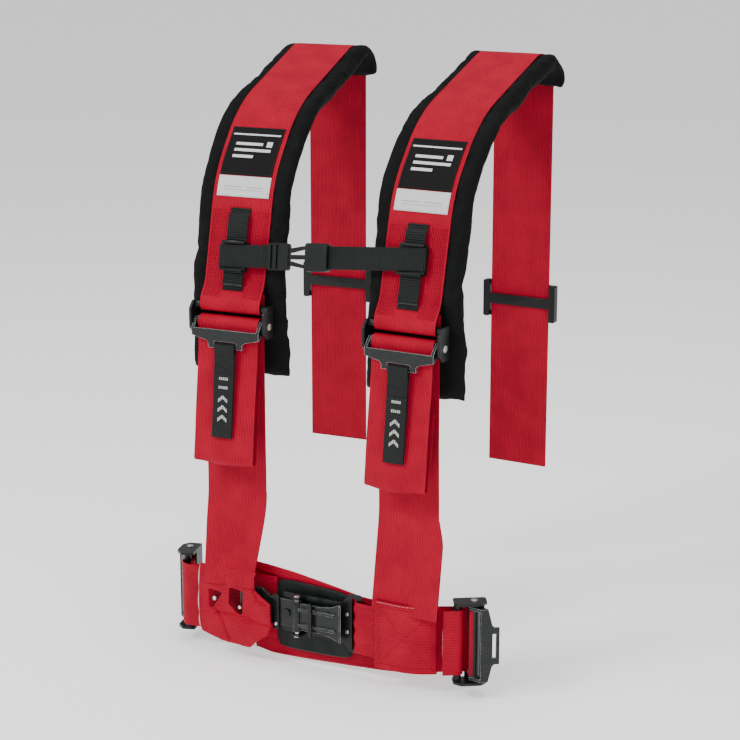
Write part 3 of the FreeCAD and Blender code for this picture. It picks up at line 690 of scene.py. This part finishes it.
def pad(name, side):
    """The swollen pad, gathered along its margins and looser towards its lower end."""
    piece = pad_shape(name, side)
    convert = pad_coordinates(side)

    def pinned(point):
        """1 where the strap or the adjuster holds the pad's front down, 0 where it can swell."""
        across, along, depth = convert(point)
        if depth > PAD_DEPTH * 0.45:
            return 0.0
        if along > PAD_LINE.length - 0.105:
            return 1.0
        return 1.0 - smooth_step(abs(across), WEBBING / 2 - 0.004, WEBBING / 2 + 0.001)

    swell(piece, pinned, 0.0035)
    moves = []
    for vertex in piece.data.vertices:
        across, along, depth = convert(vertex.co)
        hand = 1 if across > 0 else -1
        margin = smooth_step(abs(across), WEBBING / 2 - 0.001, WEBBING / 2 + 0.008)
        loose = 0.5 + 0.9 * smooth_step(along, PAD_LINE.length - 0.16, PAD_LINE.length - 0.02)
        gathers = noise.noise(Vector((along * 105, side * 3.1 + hand * 7.7, depth * 30)))
        folds = noise.noise(Vector((along * 38, side * 5.3 + hand * 2.9, depth * 55)))
        moves.append(margin * loose * (0.0011 * gathers + 0.0016 * folds))
    for vertex, move in zip(piece.data.vertices, moves):
        vertex.co += vertex.normal * move
    smooth = piece.modifiers.new("smooth", "SUBSURF")
    smooth.levels = smooth.render_levels = 1
    add(piece, "pad_cover", f"pad_cover_{name}", f"pad_foam_{name}")


def patch_look(name, ground, mark, lines):
    """A woven patch: its ground, a plain border and a few blank bars."""
    look = Look(name, ground, 0.7, Specular_IOR_Level=0.15)
    across, along = look.uv()
    weave = look.times(look.saw(across, 0.0007), look.saw(along, 0.0007))
    shown = None

    def within(value, low, high):
        return look.times(look.math("GREATER_THAN", value, low), look.math("LESS_THAN", value, high))

    for left, right, low, high in lines:
        box = look.times(within(across, left, right), within(along, low, high))
        shown = box if shown is None else look.math("MAXIMUM", shown, box)
    tone = look.ramp(weave, (0.1, shade(ground, 0.6)), (0.9, ground))
    look.color(look.mix(shown, tone, mark) if shown else tone)
    look.bump(weave, 0.00025)
    return look.material


def labels(name, side):
    """A dark woven patch with blank bars, and the pale tag under it."""
    lift = GAUGE / 2 + 0.0001 + PATCH_GAUGE / 2
    half = PATCH_WIDTH / 2
    strip = Strip(strap_place(side), SHOULDER, PATCH_WIDTH, PATCH_GAUGE,
                  shape=lambda across, along: (across, lift))
    top, foot = front(PATCH[0]), front(PATCH[1])
    bars = [(0.010, 0.044, top + 0.020, top + 0.0235), (0.010, 0.056, top + 0.028, top + 0.0315),
            (0.010, 0.036, top + 0.036, top + 0.0395), (0.049, 0.056, top + 0.018, top + 0.025),
            (0.003, 0.063, top + 0.0085, top + 0.0105)]
    look = patch_look(f"patch_{name}", (0.006, 0.006, 0.006), (0.62, 0.63, 0.64), bars)
    piece = strip.build(f"patch_{name}", look, top, foot, 0.002, 16)
    add(piece, "patch_black", f"label_patch_{name}")
    rim = []
    for across, swing in ((-half + 0.0012, 0.0011), (half - 0.0012, -0.0011)):
        rim += seam(strip, zigzag(across - swing, across + swing, top, foot, 0.0008), 0.002, fill=0.95)
    count = int(PATCH_WIDTH / 0.0008)
    for along in (top + 0.0012, foot - 0.0012):
        line = [(-half + PATCH_WIDTH * index / count, along + (-0.0011, 0.0011)[index % 2])
                for index in range(count + 1)]
        rim += seam(strip, line, 0.002, fill=0.95)
    sew(f"patch_rim_{name}", rim, BLACK_THREAD, "patch_black", 0.00038)
    low, end = front(TAG[0]), front(TAG[1])
    blank = [(0.008, 0.030, low + 0.012, low + 0.0132), (0.008, 0.058, low + 0.0155, low + 0.0163),
             (0.036, 0.058, low + 0.012, low + 0.0132)]
    tag = patch_look(f"tag_{name}", (0.92, 0.93, 0.94), (0.35, 0.36, 0.38), blank)
    add(strip.build(f"tag_{name}", tag, low, end, 0.002, 16), "tag_white", f"label_tag_{name}")
    edge = seam(strip, box_line(-half + 0.002, half - 0.002, low + 0.002, end - 0.002, False), 0.0028)
    sew(f"tag_seam_{name}", edge, WHITE_THREAD, "tag_white", 0.0003)


def rail_lift(along, start, end):
    """How far the rail stands off the strap: flat at both sewn ends, clear between them."""
    low, high = GAUGE + 0.0001, 0.0054
    share = min(along - start - 0.005, end - 0.005 - along) / 0.004
    share = min(max(share, 0.0), 1.0)
    return low + (high - low) * share * share * (3 - 2 * share)


def chest_rail(name, side, strap):
    """The narrow rail on the strap, with the sewing that holds it and the strap's own seams."""
    start, end = front(RAIL[0]), front(RAIL[1])
    rail = Strip(strap_place(side), SHOULDER, NARROW, GAUGE,
                 shape=lambda across, along: (across, rail_lift(along, start, end)))
    add(rail.build(f"rail_{name}", BLACK_WEB, start, end, 0.0015, 12), "black_webbing", f"chest_rail_{name}")
    sewn = seam(rail, box_line(-0.0105, 0.0105, start + 0.0012, start + 0.0046), 0.0024)
    sewn += seam(rail, box_line(-0.0105, 0.0105, end - 0.0046, end - 0.0012), 0.0024)
    sew(f"rail_seam_{name}", sewn, BLACK_THREAD, "black_webbing", 0.0003)
    bar = seam(rail, [(-0.0115, end - 0.0062), (0.0115, end - 0.0062)], 0.0024, fill=0.9)
    sew(f"rail_bar_{name}", bar, GREY_THREAD, "black_webbing", 0.0003)
    rows = []
    for column in range(11):
        near = 0.0143 + column * 0.0020
        for hand in (-1, 1):
            line = zigzag(hand * near, hand * (near + 0.0013), start + 0.002, end + 0.010, 0.0021)
            rows += seam(strap, line, 0.003, fill=0.96)
    sew(f"rail_zigzag_{name}", rows, DARK_RED_THREAD, "red_webbing", 0.0003)
    top = seam(strap, [(-0.036, start - 0.0005), (0.036, start - 0.0005)], 0.003)
    for hand in (-1, 1):
        top += seam(strap, [(hand * 0.0362, front(0.262)), (hand * 0.0362, end + 0.008)], 0.0034)
    sew(f"strap_seam_{name}", top, RED_THREAD, "red_webbing", 0.00034)


for side_name, hand_of in SIDES.items():
    strap_strip = shoulder_strap(side_name, hand_of)
    pad(side_name, hand_of)
    labels(side_name, hand_of)
    chest_rail(side_name, hand_of, strap_strip)


# === Lower straps, their hanging loops and sewn ends ===
FOLD_UP = -0.195


def lower_strap(name, side):
    """Rolled a little at its fold; towards the belt the left one narrows and the right one widens."""
    corners = lower_corners()
    if side < 0:
        corners = [(-0.2880, -0.305), (-0.2876, -0.288, 0.04), (-0.2655, -0.205, 0.12)] + corners[2:]
    else:
        corners = [(-0.2815, -0.305)] + corners[1:]
    path = Path(*corners)
    fold, sewn = path.length - 0.094, path.crossing(FOLD_UP, 1)

    def shape(across, along):
        near = math.exp(-((along - fold) / 0.05) ** 2)
        roll = 0.0026 * near * noise.noise(Vector((across * 22, along * 9, side)))
        cup = 0.0018 * near * math.cos(across / WEBBING * math.pi * 2)
        foot = 1 - smooth_step(along, 0.0, sewn * 0.9)
        if side < 0:
            gather = 0.0012 * foot * math.cos(across / WEBBING * math.pi * 3)
            return across * (1 - 0.15 * foot), roll + cup + gather
        spread = 0.0035 * smooth_step(sewn - along, -0.006, 0.030) * (0.5 + across / WEBBING)
        return across + 2 * spread, roll + cup

    strip = Strip(strap_place(side), path, WEBBING, shape=shape)
    add(strip.build(f"lower_strap_{name}", RED), "red_webbing", f"lower_webbing_{name}")
    low = path.crossing(-0.289, 1)

    def sewn_shape(across, along):
        moved, bulge = shape(across, along)
        return moved, bulge + 0.0019

    folded = Strip(strap_place(side), path, WEBBING - 0.001, shape=sewn_shape)
    add(folded.build(f"sewn_end_{name}", RED, low, sewn), "red_webbing", f"sewn_end_{name}")
    inset = WEBBING / 2 - 0.003
    rows = []
    for row in (0.002, 0.0055):
        rows += seam(folded, [(-inset, sewn - row), (inset, sewn - row)], 0.003)
    if side > 0:
        for column in range(12):
            across = -inset + 2 * inset * column / 11
            line = zigzag(across - 0.0011, across + 0.0011, low + 0.004, sewn - 0.008, 0.0022)
            rows += seam(folded, line, 0.0026, fill=0.95)
    sew(f"sewn_end_seam_{name}", rows, DARK_RED_THREAD, "red_webbing")
    marks = []
    for line in ([(-inset + 0.004, sewn - 0.020), (-inset + 0.0075, sewn - 0.0205)],
                 [(inset - 0.010, sewn - 0.027), (inset - 0.0065, sewn - 0.0265)]):
        marks += seam(folded, line, 0.0036, fill=1.0)
    sew(f"thread_ends_{name}", marks, PALE_THREAD, "red_webbing", 0.0007)


def pull_tab(name, side):
    """Ribbed webbing folded round the lever's tongue, sewn below it, with a plain woven mark."""
    body = f"pull_tab_{name}"
    radius = 0.0034
    layer = 0.0009
    centre = Vector((ADJUSTER_BACK + RING[0], ADJUSTER_UP + RING[1]))
    foot = Vector((ADJUSTER_BACK - 0.0336, ADJUSTER_UP - 0.128))
    down = (foot - centre).normalized()
    left = Vector((-down.y, down.x))
    half_turn = [centre + radius * (left * math.cos(angle) - down * math.sin(angle))
                 for angle in [math.pi * step / 12 for step in range(13)]]
    neck = centre + down * 0.013
    points = [foot + left * layer, neck + left * layer, *half_turn, neck - left * layer, foot - left * layer]
    path = Path(*[(point.x, point.y) for point in points], step=0.0015)
    strip = Strip(strap_place(side), path, NARROW, 0.0015)
    piece = strip.build(f"pull_tab_{name}", BLACK_WEB, step=0.0015, columns=14)
    add(piece, "black_webbing", f"pull_tab_{name}", body=body)
    marks = []
    ends = [strip.point(0, 0.001, 0.00075), strip.point(0, path.length - 0.001, 0.00075)]
    front_first = ends[0].y < ends[1].y
    at = (lambda along: along) if front_first else (lambda along: path.length - along)
    for bar in range(3):
        along = 0.018 + bar * 0.011
        chevron = [(-0.006, at(along)), (0.0, at(along + 0.005)), (0.006, at(along))]
        for offset in range(5):
            shift = offset * 0.0008 * (1 if front_first else -1)
            marks += seam(strip, [(a, s + shift) for a, s in chevron], 0.0026, fill=0.97)
    for offset in range(4):
        shift = offset * 0.0008
        for along in (0.056, 0.066):
            marks += seam(strip, [(-0.006, at(along + shift)), (0.006, at(along + shift))], 0.0026, fill=0.97)
    sew(f"pull_tab_mark_{name}", marks, WHITE_THREAD, "black_webbing", 0.00036, body=body)
    neck_end = path.length / 2
    sewn = seam(strip, box_line(-0.0105, 0.0105, at(neck_end - 0.024), at(neck_end - 0.036)), 0.0026)
    sew(f"pull_tab_seam_{name}", sewn, BLACK_THREAD, "black_webbing", 0.0003, body=body)


def chest_strap(name, start, end):
    path = Path((start, CHEST_STRAP_LIFT), (end, CHEST_STRAP_LIFT))
    strip = Strip(chest_place, path, NARROW, face=1)
    piece = strip.build(f"chest_strap_{name}", BLACK_WEB, columns=14)
    add(piece, "black_webbing", f"chest_strap_{name}", body="chest_strap")


for side_name, hand_of in SIDES.items():
    lower_strap(side_name, hand_of)
    pull_tab(side_name, hand_of)
    low_corner, high_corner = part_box(f"chest_strap_{side_name}")
    chest_strap(side_name, low_corner[0], high_corner[0])


# === Lap belt ===
def plan(side, back, along, *radius):
    """A corner of a belt's path, given in its adjuster's own frame."""
    spot = lap_place(side)(0, back, along)
    return (spot.x, spot.y, *radius)


def bar_corners(side):
    """The two corners of a belt's turn round its adjuster's fixed bar."""
    behind, before, turn_at = FIXED_BAR[0] + BAR_WRAP, FIXED_BAR[0] - BAR_WRAP, FIXED_BAR[1] - BAR_WRAP
    return [plan(side, behind, turn_at, BAR_WRAP), plan(side, before, turn_at, BAR_WRAP)]


LATCH_BAR = (0.0517, -0.27125)
LATCH_WRAP = 0.0047
SQUARE = 0.080
RIGHT_LAP = Path((0.1, LATCH_BAR[1] + LATCH_WRAP + 0.001), (0.07, LATCH_BAR[1] + LATCH_WRAP, 0.04),
                 (LATCH_BAR[0] - LATCH_WRAP, LATCH_BAR[1] + LATCH_WRAP, LATCH_WRAP),
                 (LATCH_BAR[0] - LATCH_WRAP, LATCH_BAR[1] - LATCH_WRAP, LATCH_WRAP),
                 (0.084, -0.2795, 0.06), plan(1, 0.0006, 0.0666, 0.06), *bar_corners(1),
                 plan(1, -0.0106, 0.034))
LEFT_LAP = Path((-0.06, -0.262), (-0.095, -0.266, 0.05), plan(-1, 0.0006, 0.03, 0.014), *bar_corners(-1),
                plan(-1, -0.0106, 0.0297, 0.015), (-0.155, -0.2723))


def right_belt():
    """Gathered where it goes round the latch's bar, full width from the junction outward."""
    past_bar = 0.06
    bar_end = RIGHT_LAP.crossing(0.072, 0, past_bar)

    def shape(across, along):
        tight = 1 - smooth_step(along, bar_end, bar_end + 0.012)
        squeezed = across * (1 - 0.215 * tight)
        crease = 0.0008 * tight * math.sin(across / WEBBING * math.pi * 7)
        return squeezed, crease

    strip = Strip(belt_place, RIGHT_LAP, WEBBING, shape=shape)
    add(strip.build("lap_belt_right", RED, columns=44), "red_webbing", "lap_webbing_right")
    start, end = RIGHT_LAP.crossing(0.077, 0, past_bar), RIGHT_LAP.crossing(0.147, 0, past_bar)
    square = Strip(belt_place, RIGHT_LAP, SQUARE, 0.002, shape=lambda across, along: (across, 0.0019))
    add(square.build("junction_square", RED, start, end, columns=30), "red_webbing", "junction_right")
    inset = 0.0035
    half = SQUARE / 2 - inset
    inner_start, inner_end = start + inset, end - inset
    rows = seam(square, box_line(-half, half, inner_start, inner_end), 0.0034)
    rows += seam(square, [(-half, inner_end), (half, inner_start)], 0.0034)
    inner = box_line(-half + 0.003, half - 0.003, inner_start + 0.003, inner_end - 0.003, False)
    rows += seam(square, inner, 0.0034)
    sew("junction_seam", rows, RED_THREAD, "red_webbing")
    last = RIGHT_LAP.length - 0.0006
    cut = seam(strip, [(-0.0375, last), (0.0375, last)], 0.075, fill=1.0)
    sew("belt_cut_edge", cut, PALE_THREAD, "red_webbing", 0.0008)
    top = seam(square, [(half + 0.0015, inner_start), (half + 0.0015, inner_end)], 0.003)
    sew("junction_top_seam", top, PALE_THREAD, "red_webbing")


def left_belt():
    """The belt, and the pale cut edge where it passes under the link's pocket."""
    strip = Strip(belt_place, LEFT_LAP, WEBBING, face=1)
    add(strip.build("lap_belt_left", RED), "red_webbing", "lap_webbing_left")
    edge = [(-0.1500, -0.2872, -0.2860), (-0.1518, -0.2874, -0.3150), (-0.1522, -0.2874, -0.3460),
            (-0.1500, -0.2872, -0.3665)]
    out = Vector((-0.5, -0.87, 0))
    cut = [(Vector(first), Vector(last), out) for first, last in zip(edge, edge[1:])]
    sew("pocket_cut_edge", cut, PALE_THREAD, "red_webbing", 0.0008)


def lap_tail(name, side):
    """The running webbing, thicker in its roll round the cam."""
    back, before, outboard = CAM[0] + CAM_WRAP, CAM[0] - CAM_WRAP, CAM[1] - CAM_WRAP
    entry = [(0.0452, 0.0362), (0.0029, 0.0281, 0.010)] if side < 0 else [(0.0055, 0.046)]
    path = Path(*entry, (0.0035, 0.018, 0.006), (back, 0.0088, 0.006), (back, outboard, CAM_WRAP),
                (before, outboard, CAM_WRAP), (before, 0.005))
    roll_from = path.length - math.pi * CAM_WRAP - 0.014

    def thicker(across, along):
        return across, 0.0022 * smooth_step(along, roll_from, roll_from + 0.012)

    strip = Strip(lap_place(side), path, WEBBING, shape=thicker)
    add(strip.build(f"running_web_{name}", RED, step=0.0015), "red_webbing", f"lap_tail_{name}")
    cut = seam(strip, [(-0.036, path.length - 0.0012), (0.036, path.length - 0.0012)], 0.0024, fill=0.8)
    sew(f"running_web_edge_{name}", cut, PALE_THREAD, "red_webbing")


def level(line, x):
    """The height of a line of (x, z) points at x."""
    for (x0, z0), (x1, z1) in zip(line, line[1:]):
        if x <= x1:
            return z0 + (z1 - z0) * (x - x0) / (x1 - x0)
    return line[-1][1]


def fabric_panel(name, y, top, foot, gauge, material, crown=0.0, cells=44):
    """An upright panel between a top and a foot line, thin at its edges and softly crowned."""
    left, right = top[0][0], top[-1][0]
    points, faces, uvs = [], [], []
    for face in (-1, 1):
        for row in range(cells + 1):
            for column in range(cells + 1):
                u, v = -1 + 2 * column / cells, -1 + 2 * row / cells
                pull = 0.0035 * (u ** 4) * (v ** 4)
                x = left + (right - left) * (u + 1) / 2 - math.copysign(pull, u)
                low, high = level(foot, x), level(top, x)
                z = low + (high - low) * (v + 1) / 2 - math.copysign(pull, v)
                edge = min(1 - abs(u), 1 - abs(v))
                thick = gauge / 2 * (0.3 + 0.7 * smooth_step(edge, 0.0, 0.06))
                puff = crown * (1 - u ** 4) * (1 - v ** 4) if face < 0 else 0.0
                ripple = 0.0005 * noise.noise(Vector((x * 40, 0.2, z * 40)))
                points.append(Vector((x, y + face * (thick + puff) + ripple, z)))
                uvs.append((z, x))
    span = cells + 1
    for face in (0, 1):
        for row in range(cells):
            for column in range(cells):
                first = face * span * span + row * span + column
                loop = (first, first + 1, first + span + 1, first + span)
                faces.append(loop if face == 0 else loop[::-1])
    rim = list(range(span)) + [row * span + cells for row in range(1, span)]
    rim += [cells * span + column for column in range(cells - 1, -1, -1)]
    rim += [row * span for row in range(cells - 1, 0, -1)]
    for spot, after in zip(rim, rim[1:] + rim[:1]):
        faces.append((after, spot, spot + span * span, after + span * span))
    return mesh_object(name, points, faces, material, uvs)


def running_stitch(line, out, pitch=0.0036, fill=0.7):
    """Stitches along a line of row-frame points."""
    runs = []
    for start, end in zip(line, line[1:]):
        count = max(1, round((end - start).length / pitch))
        for index in range(count):
            runs.append((start.lerp(end, index / count), start.lerp(end, (index + fill) / count), out))
    return runs


PANEL_TOP = [(-0.096, -0.279), (-0.032, -0.288), (0.050, -0.302), (0.116, -0.304)]
PANEL_FOOT = [(-0.096, -0.390), (-0.070, -0.392), (0.116, -0.384)]
VINYL_TOP = [(-0.0605, -0.294), (0.0395, -0.299)]
VINYL_FOOT = [(-0.0605, -0.379), (0.0395, -0.378)]


def buckle_panels():
    """The red panel with its hemmed top, and the vinyl pad in front of it."""
    low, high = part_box("backing_panel")
    y = (low[1] + high[1]) / 2
    add(fabric_panel("red_panel", y, PANEL_TOP, PANEL_FOOT, GAUGE, RED), "red_webbing", "backing_panel")
    out = Vector((0, -1, 0))
    runs = []
    for drop in (0.0035, 0.0120):
        runs += running_stitch([Vector((x, y - 0.0009, z - drop)) for x, z in PANEL_TOP], out)
    runs += running_stitch([Vector((x, y - 0.0009, z + 0.0035)) for x, z in PANEL_FOOT], out)
    sew("panel_seam", runs, DARK_RED_THREAD, "red_webbing")
    hem_top = [(x, z + 0.001) for x, z in PANEL_TOP]
    hem_foot = [(x, z - 0.012) for x, z in PANEL_TOP]
    add(fabric_panel("panel_hem", y - GAUGE, hem_top, hem_foot, GAUGE, RED, crown=0.0006), "red_webbing")
    low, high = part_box("buckle_pad")
    y = (low[1] + high[1]) / 2
    gauge = (high[1] - low[1]) * 0.85
    pad_piece = fabric_panel("vinyl_pad", y, VINYL_TOP, VINYL_FOOT, gauge, VINYL, crown=0.0004)
    add(pad_piece, "vinyl", "buckle_pad")
    inset = 0.0035
    left, right = VINYL_TOP[0][0] + inset, VINYL_TOP[1][0] - inset
    corners = [(left, VINYL_FOOT[0][1] + inset), (right, VINYL_FOOT[1][1] + inset),
               (right, VINYL_TOP[1][1] - inset), (left, VINYL_TOP[0][1] - inset)]
    corners.append(corners[0])
    line = [Vector((x, low[1] + 0.0002, z)) for x, z in corners]
    sew("vinyl_pad_seam", running_stitch(line, out), BLACK_THREAD, "vinyl")


# Swellings of the link's pocket: (x, z, half width, half height, how far out), and its creases
SWELLS = [(-0.101, -0.353, 0.027, 0.013, 0.0042), (-0.066, -0.331, 0.011, 0.016, 0.0030),
          (-0.074, -0.363, 0.016, 0.008, 0.0026), (-0.140, -0.345, 0.012, 0.022, 0.0012),
          (-0.113, -0.297, 0.030, 0.014, 0.0010)]
CREASES = [((-0.133, -0.334), (-0.118, -0.352), (-0.112, -0.372)),
           ((-0.128, -0.342), (-0.104, -0.340), (-0.082, -0.343)),
           ((-0.090, -0.345), (-0.070, -0.346), (-0.052, -0.347)),
           ((-0.080, -0.304), (-0.074, -0.318), (-0.062, -0.322))]


def to_line(spot, line):
    """Distance from a point to a line of points."""
    best = 1.0
    for start, end in zip(line, line[1:]):
        first, along = Vector(start), Vector(end) - Vector(start)
        share = min(max((spot - first).dot(along) / along.length_squared, 0.0), 1.0)
        best = min(best, (spot - first - along * share).length)
    return best


def left_junction():
    """The strap's end folded round the link: swollen where it doubles, creased where it is drawn in."""
    source = frame["nodes"]["junction_left"]
    made = source.data.copy()
    made.transform(source.matrix_world)
    piece = new_object("link_pocket", made)
    voxel_remesh(piece, 0.0011)
    smooth = piece.modifiers.new("soft", "SMOOTH")
    smooth.iterations = 5
    bake(piece)
    low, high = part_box("junction_left")
    middle_y = (low[1] + high[1]) / 2
    for vertex in piece.data.vertices:
        spot = Vector((vertex.co.x, vertex.co.z))
        out = 0.0004 * noise.noise(vertex.co * 70)
        for x, z, wide, tall, height in SWELLS:
            reach = ((spot.x - x) / wide) ** 2 + ((spot.y - z) / tall) ** 2
            out += height * math.exp(-reach * 1.4)
        for line in CREASES:
            out -= 0.0024 * math.exp(-(to_line(spot, line) / 0.0017) ** 2)
        vertex.co.y -= out if vertex.co.y < middle_y else out * 0.7
    layer = piece.data.uv_layers.new(name="webbing")
    for loop in piece.data.loops:
        spot = piece.data.vertices[loop.vertex_index].co
        layer.data[loop.index].uv = (spot.z - BELT_UP, spot.x)
    piece.data.materials.clear()
    piece.data.materials.append(RED)
    add(piece, "red_webbing", "junction_left")


right_belt()
left_belt()
for side_name, hand_of in SIDES.items():
    lap_tail(side_name, hand_of)
buckle_panels()
left_junction()


# === Coatings on the hard parts ===
def coat(node, material, bevel=0.0004):
    """Gives a CAD node its coating, and softens its edges by a small bevel."""
    piece = frame["nodes"][node]
    if not piece.material_slots:
        piece.data.materials.append(material)
    for holder in piece.material_slots:
        holder.material = material
    if bevel:
        soft = piece.modifiers.new("edge", "BEVEL")
        soft.width = bevel
        soft.segments = 2
        soft.limit_method = "ANGLE"
        soft.angle_limit = math.radians(40)
        soft.harden_normals = True
        weld = piece.modifiers.new("weld", "WELD")
        weld.merge_threshold = 0.00001
        piece.modifiers.move(1, 0)


for side_name in SIDES:
    for kind in ("shoulder", "lap"):
        base = f"{kind}_adjuster_{side_name}"
        coat(f"{base}_frame", DARK_STEEL)
        coat(f"{base}_pin", BRIGHT_STEEL, 0.0003)
        coat(f"{base}_lever", LEVER_STEEL)
        coat(f"{base}_spring", BRIGHT_STEEL, 0)
    coat(f"tail_slide_{side_name}", DARK_STEEL)
    coat(f"chest_slider_{side_name}", MOULDED, 0.0005)
for part in ("clip_male", "clip_female", "clip_prong_upper", "clip_prong_lower"):
    coat(part, MOULDED, 0.0004)
for part in ("latch_base", "latch_crossbar", "link_bar"):
    coat(part, DARK_STEEL)
coat("latch_lever", LEVER_STEEL)
coat("latch_pin", BRIGHT_STEEL)
coat("link_plate", LINK_STEEL)
coat("buckle_rivets", BRIGHT_STEEL, 0)
coat("latch_spring", BRIGHT_STEEL, 0)


# === Floor, light and camera ===
CAMERA = Vector((1.0573, -2.1365, 0.4903))
TARGET = Vector((0.0, -0.148, -0.067))


def stage():
    low = CAD_BOX[0][2]
    bpy.ops.mesh.primitive_plane_add(size=60, location=(0, 0, low - 0.004))
    floor = bpy.context.object
    floor.name = "floor"
    look = Look("floor", (0.97, 0.97, 0.97), 0.9, Emission_Color=(1, 1, 1, 1), Emission_Strength=0.45)
    floor.data.materials.append(look.material)
    world = bpy.data.worlds.new("studio")
    world.use_nodes = True
    world.node_tree.nodes["Background"].inputs[0].default_value = (1, 1, 1, 1)
    world.node_tree.nodes["Background"].inputs[1].default_value = 0.55
    bpy.context.scene.world = world


def aim(piece, place):
    """Puts a lamp or the camera at a place, looking at the target."""
    piece.location = place
    piece.rotation_euler = (TARGET - Vector(place)).to_track_quat("-Z", "Y").to_euler()


def area_light(name, place, size, power):
    light = bpy.data.lights.new(name, "AREA")
    light.energy = power
    light.size = size
    aim(new_object(name, light), place)


def camera():
    lens = bpy.data.cameras.new("camera")
    lens.lens = 97.3
    lens.sensor_width = 36
    eye = new_object("camera", lens)
    aim(eye, CAMERA)
    bpy.context.scene.camera = eye


stage()
area_light("key", (-1.3, -2.2, 1.8), 0.9, 62)
area_light("fill", (2.0, -1.6, 1.0), 1.6, 22)
area_light("top", (0.2, -0.2, 2.4), 1.2, 34)
camera()
